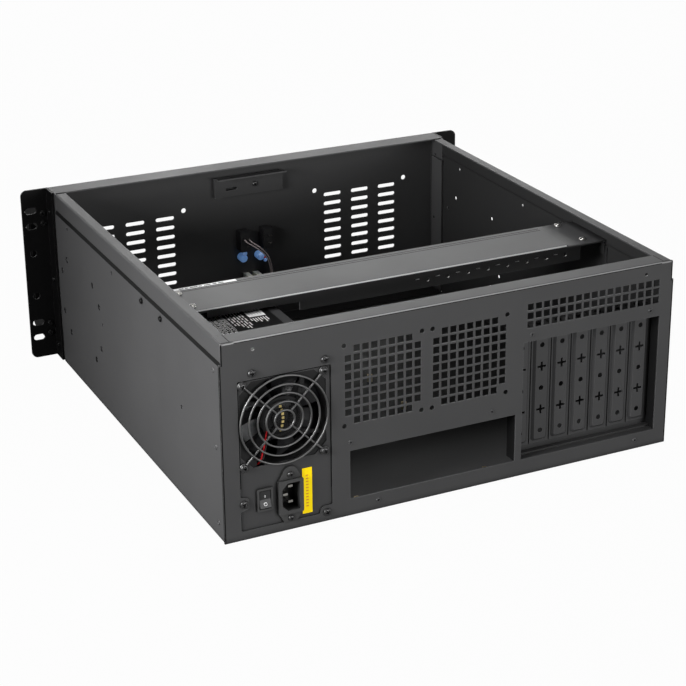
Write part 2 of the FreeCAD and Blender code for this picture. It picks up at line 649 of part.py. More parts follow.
def crossbar():
    """Folded channel that spans the case and steadies the tops of the expansion cards."""
    step_y = BAR_FRONT + BAR_STEP_WIDTH
    line = [(BAR_REAR, BAR_TOP - BAR_FLANGE), (BAR_REAR, BAR_TOP), (step_y + BAR_STEP, BAR_TOP),
            (step_y, BAR_TOP - BAR_STEP), (BAR_FRONT, BAR_TOP - BAR_STEP),
            (BAR_FRONT, BAR_TOP - BAR_FLANGE)]
    bar = folded_sheet("X", BAR_RAISED_END, BAR_END, line, SHEET, BEND * 0.6)
    # the -X end is pressed down to a flat tab
    low = BAR_TOP - BAR_STEP
    tab_line = [(BAR_REAR, low - BAR_FLANGE + BAR_STEP), (BAR_REAR, low), (BAR_FRONT, low),
                (BAR_FRONT, low - BAR_FLANGE + BAR_STEP)]
    tab = folded_sheet("X", -BAR_END, BAR_RAISED_END, tab_line, SHEET, BEND * 0.6)
    riser = box(BAR_RAISED_END - SHEET, BAR_RAISED_END, step_y, BAR_REAR - BEND, low - SHEET, BAR_TOP)
    notch = box(BAR_NOTCH_TO, BAR_END + 1, BAR_FRONT - 1, BAR_REAR + 1,
                BAR_TOP - BAR_FLANGE - 1, BAR_TOP - BAR_NOTCH_FLANGE)
    # the flanges stop short of the brackets that carry the bar
    clear = BRACKET_SHELF + SHEET + BAR_END_GAP
    ends = [box(sign * (INNER - clear / 2) - clear / 2, sign * (INNER - clear / 2) + clear / 2,
                BAR_FRONT - 1, BAR_REAR + 1, BAR_TOP - BAR_FLANGE - 1, low - SHEET - SEAT_GAP / 2)
            for sign in (-1, 1)]
    bar = fuse([bar, tab, riser]).cut(notch)
    holes = []
    for i in range(BAR_HOLES):
        x = BAR_HOLE_START - i * SLOT_PITCH
        z = BAR_TOP - BAR_FLANGE * 0.55
        holes.append(rod_y(BAR_HOLE_RADIUS, x, z, BAR_REAR - 2 * SHEET, BAR_REAR + SHEET))
        holes.append(box(x + SLOT_PITCH / 2 - 2.2, x + SLOT_PITCH / 2 + 2.2,
                         BAR_REAR - 2 * SHEET, BAR_REAR + SHEET, z + 1.6, z + 2.6))
    for sign in (-1, 1):
        for y in BAR_SCREWS[sign]:
            holes.append(rod(SCREW_RADIUS, (sign * BAR_SCREW_X, y, BAR_TOP - 4 * SHEET),
                             (sign * BAR_SCREW_X, y, BAR_TOP + SHEET)))
    return cut(bar, ends + holes)


def crossbar_bracket(end):
    """Angle on the wall for one end of the bar, which lies on its shelf; drawn on the +X side."""
    high = BAR_UNDER if end > 0 else BAR_UNDER - BAR_STEP
    low = high - BRACKET_HEIGHT
    x1 = SEAT_HALF - SHEET - SEAT_GAP / 2
    x0 = x1 - SHEET
    y0, y1 = SHELF_FRONT[end], BAR_REAR - 2
    wall_top = SEAT_BASE - COVER_SEAT_SLOPE - SHEET
    wall = box(INNER - SHEET, INNER, BRACKET_FRONT, BAR_REAR, low, wall_top)
    step = box(x0, INNER, y0, y1, low + BRACKET_HEIGHT / 2, wall_top)
    neck = box(x0, x1, y0, y1, low + BRACKET_HEIGHT / 2, high)
    shelf = box(x0 - BRACKET_SHELF, x0, y0, y1, high - SHEET, high)
    bracket = fuse([wall, step, neck, shelf])
    z = WALL_SCREW_HEIGHT
    holes = [rod(SCREW_RADIUS, (INNER - 3 * SHEET, y, z), (INNER + SHEET, y, z)) for y in WALL_SCREWS]
    holes += [rod(SCREW_RADIUS, (BAR_SCREW_X, y, high - 2 * SHEET), (BAR_SCREW_X, y, high + SHEET))
              for y in BAR_SCREWS[end]]
    return cut(bracket, holes)


def crossbar_screws():
    screws = [pan_screw(-BAR_SCREW_X, y, BAR_TOP - BAR_STEP, (0, 0, -1), 5.0) for y in BAR_SCREWS[-1]]
    screws += [pan_screw(BAR_SCREW_X, y, BAR_TOP, (0, 0, -1), 5.0) for y in BAR_SCREWS[1]]
    return group(screws)


def crossbar_label():
    """Narrow plain strip stuck on the bar's lowered front edge."""
    top = BAR_TOP - BAR_STEP
    return box(HALF - 81.0, HALF - 23.0, BAR_FRONT + 1.6, BAR_FRONT + 6.6, top, top + LABEL_SHEET)


# ---------------------------------------------------------------- expansion slots
SLOT_PLANE = Y_REAR - SLOT_RECESS        # outer face of the recessed plate
SLOT_TOP = 131.0


def slot_frame():
    """Recessed tray behind the rear panel with the openings of the expansion cards."""
    x0, _, z0, z1 = SLOT_OPENING
    x1 = SLOT_FIRST + COVER_PLATE_WIDTH / 2 + 2 * SEAT_GAP
    t = SLOT_SHEET
    plate = box(x0 - t, x1 + t, SLOT_PLANE - t, SLOT_PLANE, z0 - t, SLOT_TOP)
    left = box(x0 - t, x0, SLOT_PLANE - t, Y_PANEL, z0 - t, SLOT_TOP)
    right = box(x1, x1 + t, SLOT_PLANE - t, Y_PANEL, z0 - t, SLOT_TOP)
    floor = box(x0 - t, x1 + t, SLOT_PLANE - t, Y_PANEL, z0 - t, z0)
    step = box(x0, x1, SLOT_PLANE, SLOT_PLANE + SLOT_RECESS * 0.4, z0, z0 + 1.4)
    shelf = box(x0 - t, x1 + t, SLOT_PLANE - COVER_TAB, SLOT_PLANE, SLOT_TOP - t, SLOT_TOP)
    hood = box(x0 - t, x1 + t, SLOT_PLANE + COVER_RISE + 1.2, Y_PANEL, z1 + t, z1 + 2 * t)
    tray = fuse([plate, left, right, floor, step, shelf, hood])
    tools = []
    for i in range(SLOT_COUNT):
        x = SLOT_FIRST - i * SLOT_PITCH
        tools.append(box(x - SLOT_APERTURE / 2, x + SLOT_APERTURE / 2,
                         SLOT_PLANE - 2 * t, SLOT_PLANE + t, z0 + 9.0, SLOT_TOP - 8.0))
        tools.append(rod(SCREW_RADIUS, (x, SLOT_PLANE - COVER_TAB / 2, SLOT_TOP - 3 * t),
                         (x, SLOT_PLANE - COVER_TAB / 2, SLOT_TOP + t)))
    return cut(tray, tools)


def plus_hole(x, z, y0, y1):
    long, arm = COVER_PLUS / 2, COVER_PLUS_ARM / 2
    points = [(x - arm, z - long), (x + arm, z - long), (x + arm, z - arm), (x + long, z - arm),
              (x + long, z + arm), (x + arm, z + arm), (x + arm, z + long), (x - arm, z + long),
              (x - arm, z + arm), (x - long, z + arm), (x - long, z - arm), (x - arm, z - arm)]
    return prism("Y", y0, y1, points)


def raised_pad(x, shrink, y0, rise):
    """Frustum of a slot cover's pressed middle."""
    half = COVER_RAISED_WIDTH / 2 - shrink
    low = COVER_PLATE_FROM + COVER_RAISED_MARGIN + shrink
    high = SLOT_OPENING[3] - 1.0 - shrink
    slope = COVER_RAISED_SLOPE
    corner = COVER_RAISED_CORNER
    base = outline("Y", y0, rectangle(x - half, x + half, low, high), corner)
    crest = outline("Y", y0 + rise, rectangle(x - half + slope, x + half - slope,
                                              low + slope, high - slope), corner * 0.6)
    return Part.makeLoft([base, crest], True, True)


def slot_cover(index):
    """Blanking plate of one expansion slot, pressed outward, with a screw tab at the top."""
    x = SLOT_FIRST - index * SLOT_PITCH
    t = SLOT_SHEET
    y0 = SLOT_PLANE
    tab_end = SLOT_PLANE - COVER_TAB
    half = COVER_PLATE_WIDTH / 2
    face = box(x - half, x + half, y0, y0 + t, COVER_PLATE_FROM, SLOT_TOP + t)
    tab = box(x - half, x + half, tab_end, y0 + t, SLOT_TOP, SLOT_TOP + t)
    plate = fuse([face, tab, raised_pad(x, 0.0, y0 + t, COVER_RISE)])
    tools = [raised_pad(x, t * 0.8, y0 - 0.01, COVER_RISE + 0.01),
             rod(SCREW_RADIUS, (x, y0 - COVER_TAB / 2, SLOT_TOP - t),
                 (x, y0 - COVER_TAB / 2, SLOT_TOP + 2 * t))]
    through = (y0 - t, y0 + COVER_RISE + 2 * t)
    for i in range(5):
        z = COVER_HOLE_START + i * COVER_HOLE_PITCH
        if i % 2 == 0:
            tools.append(rod_y(COVER_HOLE_RADIUS, x, z, *through))
        else:
            tools.append(plus_hole(x, z, *through))
    return cut(plate, tools)


def slot_cover_screws():
    y = SLOT_PLANE - COVER_TAB / 2
    return group(pan_screw(SLOT_FIRST - i * SLOT_PITCH, y, SLOT_TOP + SLOT_SHEET, (0, 0, -1), 5.0)
                 for i in range(SLOT_COUNT))


# ---------------------------------------------------------------- board standoffs
STANDOFF_COLUMNS = (89.5, -35.0, 22.6 - HALF)
STANDOFF_ROWS = (212.0, 57.0, -15.5)
STANDOFF_ACROSS = 5.0
STANDOFF_TOP = 8.2


def board_standoffs():
    """Hexagonal spacers for the mainboard."""
    posts = []
    for x in STANDOFF_COLUMNS:
        for y in STANDOFF_ROWS:
            base = LAP_TOP if y > Y_REAR - REAR_LIP else FLOOR_TOP
            radius = STANDOFF_ACROSS / math.sqrt(3)
            points = [(x + radius * math.cos(math.pi / 3 * k), y + radius * math.sin(math.pi / 3 * k))
                      for k in range(6)]
            post = prism("Z", base, STANDOFF_TOP, points)
            posts.append(post.cut(rod(SCREW_RADIUS, (x, y, base + 2), (x, y, STANDOFF_TOP + 1))))
    return group(posts)


# ---------------------------------------------------------------- wires
def tube(points, radius):
    """Round wire along straight runs joined by arcs as large as the runs allow."""
    spots = [Vector(*p) for p in points]
    edges = []
    start = spots[0]
    for before, corner, after in zip(spots, spots[1:], spots[2:]):
        u = (before - corner).normalize()
        v = (after - corner).normalize()
        half = u.getAngle(v) / 2
        shorter = min((before - corner).Length, (after - corner).Length)
        reach = 0.45 * shorter
        bend = reach * math.tan(half)
        middle = (u + v).normalize()
        arc_start, arc_end = corner + u * reach, corner + v * reach
        bow = corner + middle * (bend / math.sin(half) - bend)
        edges.append(Part.LineSegment(start, arc_start).toShape())
        edges.append(Part.Arc(arc_start, bow, arc_end).toShape())
        start = arc_end
    edges.append(Part.LineSegment(start, spots[-1]).toShape())
    path = Part.Wire(edges)
    ring = Part.Wire(Part.makeCircle(radius, spots[0], spots[1] - spots[0]))
    return path.makePipeShell([ring], True, False)


# ---------------------------------------------------------------- power supply
def fan_corners():
    reach = FAN_SCREW_SPACING / 2
    return [(FAN_X + sx * reach, FAN_Z + sz * reach) for sx in (-1, 1) for sz in (-1, 1)]


def inlet_screw_places():
    return [(INLET_X, INLET_Z + sign * INLET_SCREW_SPACING / 2) for sign in (-1, 1)]


SWITCH_WALL = 1.0
SWITCH_BODY_WIDTH = SWITCH_WIDTH - 2 * SWITCH_RIM + 2 * SWITCH_WALL
SWITCH_BODY_HEIGHT = SWITCH_HEIGHT - 2 * SWITCH_RIM + 2 * SWITCH_WALL
INLET_BODY_WIDTH = MOUTH_WIDTH + 3.0
INLET_BODY_HEIGHT = MOUTH_HEIGHT + 2.0


def psu_tray():
    """Lower half of the supply's case: its back with the openings, one side and its front."""
    t = PSU_SHEET
    line = [(PSU_X0, PSU_Y1), (PSU_X1, PSU_Y1), (PSU_X1, PSU_Y0), (PSU_X0, PSU_Y0)]
    tray = folded_sheet("Z", PSU_Z0, PSU_Z1, line[::-1], t, BEND / 2)
    through = (PSU_Y1 - 2 * t, PSU_Y1 + t)
    half, cut_to = FAN_WINDOW / 2, FAN_WINDOW / 2 - FAN_WINDOW_CORNER
    window = [(-half, -cut_to), (-cut_to, -half), (cut_to, -half), (half, -cut_to),
              (half, cut_to), (cut_to, half), (-cut_to, half), (-half, cut_to)]
    tools = [prism("Y", *through, [(FAN_X + a, FAN_Z + b) for a, b in window], 1.0)]
    tools += [rod_y(SCREW_RADIUS, x, z, *through) for x, z in fan_corners() + inlet_screw_places()]
    tools += [rod_y(SCREW_RADIUS, x, z, *through) for x, z in psu_screw_places()]
    tools.append(box(INLET_X - INLET_BODY_WIDTH / 2, INLET_X + INLET_BODY_WIDTH / 2, *through,
                     INLET_Z - INLET_BODY_HEIGHT / 2, INLET_Z + INLET_BODY_HEIGHT / 2))
    tools.append(box(SWITCH_X - SWITCH_BODY_WIDTH / 2, SWITCH_X + SWITCH_BODY_WIDTH / 2, *through,
                     SWITCH_Z - SWITCH_BODY_HEIGHT / 2, SWITCH_Z + SWITCH_BODY_HEIGHT / 2))
    front = (PSU_Y0 - t, PSU_Y0 + 2 * t)
    for i in range(6):
        tools.append(slot("Y", *front, FAN_X, PSU_Z0 + 70.0 + i * 10.0, 56.0, 4.4))
    tools.append(rod_y(PSU_GROMMET_RADIUS, FAN_X, PSU_GROMMET_Z, *front))
    return cut(tray, tools)


PSU_GROMMET_RADIUS = 11.0
PSU_GROMMET_Z = PSU_Z0 + 32.0
PSU_GROMMET_LIP = 2.0


def psu_cover():
    """Upper half of the supply's case, a channel over the tray."""
    t = PSU_SHEET
    line = [(PSU_X1 - t, PSU_Z0), (PSU_X0, PSU_Z0), (PSU_X0, PSU_Z1), (PSU_X1 - t, PSU_Z1)]
    cover = folded_sheet("Y", PSU_Y0 + t, PSU_Y1 - t, line[::-1], t, BEND / 2)
    screws = [rod(SCREW_RADIUS * 0.8, (PSU_X0 - t, y, z), (PSU_X0 + 2 * t, y, z))
              for y, z in psu_cover_screw_places()]
    return cut(cover, screws)


def psu_cover_screw_places():
    return [(PSU_Y0 + inset, PSU_Z0 + dz) for inset in (8.0, PSU_DEPTH - 30.0)
            for dz in (12.0, PSU_HEIGHT - 12.0)]


def psu_cover_screws():
    return group(pan_screw(PSU_X0, y, z, (1, 0, 0), 4.0, SCREW_RADIUS * 0.8, 2.4)
                 for y, z in psu_cover_screw_places())


def psu_grommet():
    """Ring that lines the hole where the supply's leads would come out."""
    r = PSU_GROMMET_RADIUS
    lips = rod_y(r + 2, FAN_X, PSU_GROMMET_Z, PSU_Y0 - PSU_GROMMET_LIP, PSU_Y0)
    sleeve = rod_y(r, FAN_X, PSU_GROMMET_Z, PSU_Y0, PSU_Y0 + PSU_SHEET + 1)
    bore = rod_y(r - 2, FAN_X, PSU_GROMMET_Z, PSU_Y0 - 5, PSU_Y0 + 5)
    return fuse([lips, sleeve]).cut(bore)


def psu_screws():
    return group(pan_screw(x, Y_REAR, z, (0, -1, 0), 6.0, head=3.4) for x, z in psu_screw_places())


def psu_label():
    """Plain label field on the supply's top side."""
    return box(PSU_X0 + 10.0, PSU_X1 - 14.0, PSU_Y0 + 17.2, PSU_Y0 + 70.2, PSU_Z1, PSU_Z1 + LABEL_SHEET)


BOARD_X = PSU_X1 - PSU_SHEET - 5.0       # face of the supply's board, on four posts
BOARD_Y0 = PSU_Y0 + 6.0
BOARD_Y1 = FAN_Y0 - 5.0


def psu_board():
    board = box(BOARD_X - BOARD_SHEET, BOARD_X, BOARD_Y0, BOARD_Y1, PSU_Z0 + 6, PSU_Z1 - 6)
    posts = [rod(3.0, (BOARD_X, y, z), (PSU_X1 - PSU_SHEET, y, z))
             for y in (BOARD_Y0 + 6, BOARD_Y1 - 6) for z in (PSU_Z0 + 12, PSU_Z1 - 12)]
    return fuse([board] + posts)


def psu_heatsinks():
    """Two upright plates with short fins, on the supply's board."""
    sinks = []
    foot = BOARD_X - BOARD_SHEET
    for z in (PSU_Z0 + 64.0, PSU_Z0 + 122.0):
        plate = box(foot - 48.0, foot, BOARD_Y0 + 12.0, BOARD_Y1 - 4.0, z, z + 3.0)
        fins = [box(foot - 48.0 + i * 8.0, foot - 46.4 + i * 8.0, BOARD_Y0 + 12.0, BOARD_Y1 - 4.0,
                    z - 6.0, z) for i in range(6)]
        sinks.append(fuse([plate] + fins))
    return group(sinks)


def psu_transformer():
    """Ferrite core with its winding, between the heat sinks."""
    foot = BOARD_X - BOARD_SHEET
    y, z = (BOARD_Y0 + BOARD_Y1) / 2, PSU_Z0 + 92.0
    core = box(foot - 34.0, foot, y - 17.0, y + 17.0, z - 8.0, z + 8.0)
    winding = box(foot - 29.0, foot - 5.0, y - 13.0, y + 13.0, z - 15.0, z + 15.0)
    return fuse([core, winding])


def psu_capacitors():
    foot = BOARD_X - BOARD_SHEET
    z = PSU_Z0 + 0.27 * PSU_HEIGHT
    return group(rod(11.0, (foot, y, z), (foot - 36.0, y, z)) for y in (BOARD_Y1 - 16.0, BOARD_Y1 - 42.0))


FAN_FACE = FAN_Y1 - 1.0                  # outer face of the motor plate and its struts
FAN_PLATE = 2.5
FAN_PLATE_RADIUS = 18.8
FAN_STRUT = 3.4
FAN_STRUT_FROM = (13.75, 12.3)
FAN_STRUT_TO = (0.256 * FAN_SIZE, 0.479 * FAN_SIZE)
FAN_BEARING_RADIUS = 4.0
FAN_CUP_WALL = 1.5
FAN_CUP_GAP = 0.8
LEAD_EXIT = (0.2725 * FAN_SIZE, -0.485 * FAN_SIZE)   # beside the lowest strut, from the fan's middle
LEAD_SPACING = 1.8
LEAD_CLEARANCE = 0.15
LEAD_NOTCH = (-4.2, 2.0, 3.6)            # through the rim, from the exit: x from, x to, z to
LEAD_CHANNEL = (-5.2, 2.0, 9.0, 2.9)     # in the outer face: x from, x to, z to, depth


def fan_frame():
    """Square frame with a round duct, four struts and the motor plate."""
    half = FAN_SIZE / 2
    block = prism("Y", FAN_Y0, FAN_Y1,
                  rectangle(FAN_X - half, FAN_X + half, FAN_Z - half, FAN_Z + half), 4.0)
    waist_y0, waist_y1 = FAN_Y0 + FAN_RIM, FAN_Y1 - FAN_RIM
    waist = box(FAN_X - half - 1, FAN_X + half + 1, waist_y0, waist_y1,
                FAN_Z - half - 1, FAN_Z + half + 1)
    waist = waist.cut(rod_y(FAN_DUCT_RADIUS + 1.3, FAN_X, FAN_Z, waist_y0 - 1, waist_y1 + 1))
    duct = rod_y(FAN_DUCT_RADIUS, FAN_X, FAN_Z, FAN_Y0 - 1, FAN_Y1 + 1)
    frame = block.cut(waist).cut(duct)
    plate_y = FAN_FACE - FAN_PLATE
    (x0, z0), (x1, z1) = FAN_STRUT_FROM, FAN_STRUT_TO
    length = math.hypot(x1 - x0, z1 - z0)
    side = (-(z1 - z0) / length * FAN_STRUT / 2, (x1 - x0) / length * FAN_STRUT / 2)
    corners = [(-x0 - side[0], z0 + side[1]), (-x1 - side[0], z1 + side[1]),
               (-x1 + side[0], z1 - side[1]), (-x0 + side[0], z0 - side[1])]
    strut = prism("Y", plate_y, FAN_FACE, [(FAN_X + x, FAN_Z + z) for x, z in corners])
    struts = []
    for turn in range(4):
        copy = strut.copy()
        copy.rotate(Vector(FAN_X, 0, FAN_Z), Vector(0, 1, 0), 90 * turn)
        struts.append(copy)
    plate = rod_y(FAN_PLATE_RADIUS, FAN_X, FAN_Z, plate_y, FAN_FACE)
    bearing = rod_y(FAN_BEARING_RADIUS, FAN_X, FAN_Z, plate_y - 7.0, plate_y)
    frame = fuse([frame, plate, bearing] + struts)
    bore = rod_y(FAN_SHAFT_RADIUS + FAN_SHAFT_CLEARANCE, FAN_X, FAN_Z, plate_y - 8.0, FAN_FACE - 1.0)
    notch_x, notch_z = FAN_X + LEAD_EXIT[0], FAN_Z + LEAD_EXIT[1]
    x0, x1, rise = LEAD_NOTCH
    notch = box(notch_x + x0, notch_x + x1, FAN_Y0 - 1, FAN_Y1 + 1, FAN_Z - half - 1, notch_z + rise)
    x0, x1, rise, depth = LEAD_CHANNEL
    channel = box(notch_x + x0, notch_x + x1, FAN_Y1 - depth, FAN_Y1 + 1,
                  FAN_Z - half - 1, notch_z + rise)
    screws = [rod_y(SCREW_RADIUS, x, z, FAN_Y0 - 1, FAN_Y1 + 1) for x, z in fan_corners()]
    return cut(frame, [bore, notch, channel] + screws)


def fan_blade():
    """Twisted blade, pointing along +X from the fan's axis."""
    def section(radius, sweep, rise, thickness):
        middle = (FAN_Y0 + FAN_FACE - FAN_PLATE) / 2
        camber = rise * 0.14
        points = [(-sweep / 2, -rise / 2), (0, -camber), (sweep / 2, rise / 2 - thickness),
                  (sweep / 2, rise / 2), (0, thickness - camber), (-sweep / 2, -rise / 2 + thickness)]
        return outline("X", radius, [(middle + along, across) for across, along in points])
    tip = FAN_DUCT_RADIUS - FAN_TIP_GAP
    root = section(FAN_HUB_RADIUS - FAN_CUP_WALL / 2, 9.0, 14.0, 1.8)
    end = section(tip + 2, 25.0, 11.0, 1.4)
    return Part.makeLoft([root, end], True, True)


def fan_rotor():
    """Hub cup, shaft and blades of the supply's fan."""
    cup_y0 = FAN_Y0 + 1.0
    cup_y1 = FAN_FACE - FAN_PLATE - FAN_CUP_GAP
    cup = rod_y(FAN_HUB_RADIUS, FAN_X, FAN_Z, cup_y0, cup_y1)
    hollow = rod_y(FAN_HUB_RADIUS - FAN_CUP_WALL, FAN_X, FAN_Z, cup_y0 + FAN_CUP_WALL, cup_y1 + 1)
    shaft = rod_y(FAN_SHAFT_RADIUS, FAN_X, FAN_Z, cup_y0, FAN_FACE - 1.3)
    blade = fan_blade()
    blade = blade.common(rod_y(FAN_DUCT_RADIUS - FAN_TIP_GAP, 0, 0, FAN_Y0, FAN_Y1))
    blades = []
    for i in range(FAN_BLADES):
        copy = blade.copy()
        copy.rotate(Vector(0, 0, 0), Vector(0, 1, 0), 360.0 / FAN_BLADES * i)
        copy.translate(Vector(FAN_X, 0, FAN_Z))
        blades.append(copy)
    return fuse([cup] + blades).cut(hollow).fuse(shaft).removeSplitter()


def fan_leads():
    """Red and black leads of the fan, along a strut and back to the board."""
    exit_x, exit_z = LEAD_EXIT
    on_strut = FAN_FACE + LEAD_RADIUS + LEAD_CLEARANCE
    leads = []
    for i in range(2):
        shift = i * LEAD_SPACING
        route = [(14.2, -9.0, on_strut), (exit_x * 0.78, exit_z * 0.567, on_strut),
                 (exit_x * 0.913, exit_z * 0.85, on_strut), (exit_x + 0.4, exit_z, FAN_Y1 - 3.8),
                 (exit_x + 0.4, exit_z, FAN_Y0 + 8.0), (exit_x + 0.8, exit_z, FAN_Y0 - 4.0 - shift)]
        points = [(FAN_X + x - shift, y, FAN_Z + z) for x, z, y in route]
        end = (BOARD_X - BOARD_SHEET, FAN_Y0 - 6.4 - shift, FAN_Z + exit_z)
        leads.append(tube(points + [end], LEAD_RADIUS))
    return leads


def fan_guard():
    """Wire guard: rings on four diagonal spokes that end in screw eyes."""
    ring_y = PSU_Y1 + 3 * GUARD_WIRE
    spoke_y = PSU_Y1 + GUARD_WIRE
    pitch = (FAN_DUCT_RADIUS - GUARD_INNER) / (GUARD_RINGS - 1)
    middle = Vector(FAN_X, ring_y, FAN_Z)
    rings = [Part.makeTorus(GUARD_INNER + i * pitch, GUARD_WIRE, middle, Vector(0, 1, 0))
             for i in range(GUARD_RINGS)]
    spokes = []
    for x, z in fan_corners():
        ux, uz = (x - FAN_X), (z - FAN_Z)
        length = math.hypot(ux, uz)
        ux, uz = ux / length, uz / length
        inner, outer = GUARD_INNER - GUARD_WIRE, length - GUARD_EYE
        overlap = 0.4
        spokes.append(rod(GUARD_WIRE, (FAN_X + ux * inner, spoke_y + overlap, FAN_Z + uz * inner),
                          (FAN_X + ux * outer, spoke_y + overlap, FAN_Z + uz * outer)))
        spokes.append(Part.makeTorus(GUARD_EYE - GUARD_WIRE / 2, GUARD_WIRE,
                                     Vector(x, spoke_y, z), Vector(0, 1, 0)))
    return fuse(rings + spokes)


def guard_screws():
    seat = PSU_Y1 + 2 * GUARD_WIRE
    return group(pan_screw(x, seat, z, (0, -1, 0), 9.0, head=3.4) for x, z in fan_corners())


def power_inlet():
    """Three-pin mains inlet with a two-screw flange."""
    lobes = [rod_y(INLET_LOBE, x, z, PSU_Y1, PSU_Y1 + INLET_FLANGE) for x, z in inlet_screw_places()]
    w, h = INLET_WIDTH / 2, INLET_HEIGHT / 2
    web = INLET_LOBE * 0.92
    reach = INLET_SCREW_SPACING / 2 + INLET_LOBE * 0.35
    plate = prism("Y", PSU_Y1, PSU_Y1 + INLET_FLANGE,
                  [(INLET_X + a, INLET_Z + b) for a, b in
                   ((-web, -reach), (web, -reach), (w, -h + 2), (w, h - 2), (web, reach), (-web, reach),
                    (-w, h - 2), (-w, -h + 2))])
    boss = prism("Y", PSU_Y1, PSU_Y1 + INLET_BOSS,
                 rectangle(INLET_X - w, INLET_X + w, INLET_Z - h, INLET_Z + h), 1.5)
    bw, bh = INLET_BODY_WIDTH / 2, INLET_BODY_HEIGHT / 2
    body = box(INLET_X - bw, INLET_X + bw, PSU_Y1 - INLET_DEPTH, PSU_Y1, INLET_Z - bh, INLET_Z + bh)
    # the lower lobe ends flat at the edge of the rear panel's opening
    panel_edge = PSU_Z0 + PSU_OPENING_EDGE[2] + SEAT_GAP
    below = box(INLET_X - w, INLET_X + w, PSU_Y1, PSU_Y1 + INLET_FLANGE, PSU_Z0 - 5.0, panel_edge)
    inlet = fuse(lobes + [plate, boss, body]).cut(below)
    face = PSU_Y1 + INLET_BOSS
    mouth = prism("Y", face - MOUTH_DEPTH, face + 1, mouth_outline(0.0), 0.6)
    holes = [rod_y(SCREW_RADIUS, x, z, PSU_Y1 - 1, face) for x, z in inlet_screw_places()]
    pins = [box(*pin_box(i)) for i in range(3)]
    return cut(inlet, [mouth] + holes + pins)


def mouth_outline(shrink):
    """Mains socket outline, with its two cut corners towards +X."""
    w, h, c = MOUTH_WIDTH / 2 - shrink, MOUTH_HEIGHT / 2 - shrink, MOUTH_CORNER
    return [(INLET_X + a, INLET_Z + b) for a, b in
            ((-w, -h), (w - c, -h), (w, -h + c), (w, h - c), (w - c, h), (-w, h))]


def pin_box(index):
    """Flat pin, its middle one set towards the cut corners."""
    face = PSU_Y1 + INLET_BOSS
    x = INLET_X + (PIN_OFFSET if index == 1 else -PIN_OFFSET / 2)
    z = INLET_Z + (index - 1) * PIN_SPACING
    return (x - PIN_HEIGHT / 2, x + PIN_HEIGHT / 2, face - MOUTH_DEPTH - 3, face - PIN_RECESS,
            z - PIN_WIDTH / 2, z + PIN_WIDTH / 2)


def inlet_pins():
    return group(box(*pin_box(i)) for i in range(3))


def inlet_screws():
    return group(pan_screw(x, PSU_Y1 + INLET_FLANGE, z, (0, -1, 0), 6.0, head=2.6)
                 for x, z in inlet_screw_places())


ROCKER_WIDTH = SWITCH_WIDTH - 2 * SWITCH_RIM - 2 * ROCKER_CLEARANCE
ROCKER_AXIS_Y = PSU_Y1 - 0.6


def switch_bezel():
    """Snap-in body of the rocker switch."""
    w, h = SWITCH_WIDTH / 2, SWITCH_HEIGHT / 2
    rim = prism("Y", PSU_Y1, PSU_Y1 + SWITCH_RIM_DEPTH,
                rectangle(SWITCH_X - w, SWITCH_X + w, SWITCH_Z - h, SWITCH_Z + h), 1.2)
    bw, bh = SWITCH_BODY_WIDTH / 2, SWITCH_BODY_HEIGHT / 2
    body = box(SWITCH_X - bw, SWITCH_X + bw, PSU_Y1 - SWITCH_DEPTH, PSU_Y1, SWITCH_Z - bh, SWITCH_Z + bh)
    hollow = box(SWITCH_X - w + SWITCH_RIM, SWITCH_X + w - SWITCH_RIM, PSU_Y1 - SWITCH_DEPTH + 2,
                 PSU_Y1 + SWITCH_RIM_DEPTH + 1, SWITCH_Z - h + SWITCH_RIM, SWITCH_Z + h - SWITCH_RIM)
    pivot = rod(ROCKER_PIN_RADIUS + ROCKER_PIN_CLEARANCE, (SWITCH_X - bw - 1, ROCKER_AXIS_Y, SWITCH_Z),
                (SWITCH_X + bw + 1, ROCKER_AXIS_Y, SWITCH_Z))
    return cut(fuse([rim, body]), [hollow, pivot])


def switch_rocker():
    """Rocker with its upper half pressed in."""
    half = ROCKER_WIDTH / 2
    reach = SWITCH_HEIGHT / 2 - SWITCH_RIM - ROCKER_CLEARANCE
    y, z = ROCKER_AXIS_Y, SWITCH_Z
    drum = rod(reach, (SWITCH_X - half, y, z), (SWITCH_X + half, y, z))
    valley, crest = 2.0, 3.2
    above = prism("X", SWITCH_X - half - 1, SWITCH_X + half + 1,
                  [(y + valley, z), (y + crest, z + reach + 1), (y + 20, z + reach + 1),
                   (y + 20, z - reach - 1), (y + crest, z - reach - 1)])
    flats = box(SWITCH_X - half - 1, SWITCH_X + half + 1, y - 20, y - 5.0, z - reach - 1, z + reach + 1)
    pins = rod(ROCKER_PIN_RADIUS, (SWITCH_X - half - 1.2, y, z), (SWITCH_X + half + 1.2, y, z))
    rocker = fuse([drum.cut(above).cut(flats), pins])
    rocker.rotate(Vector(SWITCH_X, y, z), Vector(1, 0, 0), ROCKER_TILT)
    return rocker


def seal_sticker():
    """Plain yellow strip beside the inlet."""
    x1 = INLET_X - INLET_WIDTH / 2 - SEAT_GAP
    return box(x1 - 8.8, x1, PSU_Y1, PSU_Y1 + 0.2, INLET_Z - 20.2, INLET_Z + 21.3)


# ---------------------------------------------------------------- front controls
Y_FACE = Y_FRONT + SHEET                 # inner face of the front panel


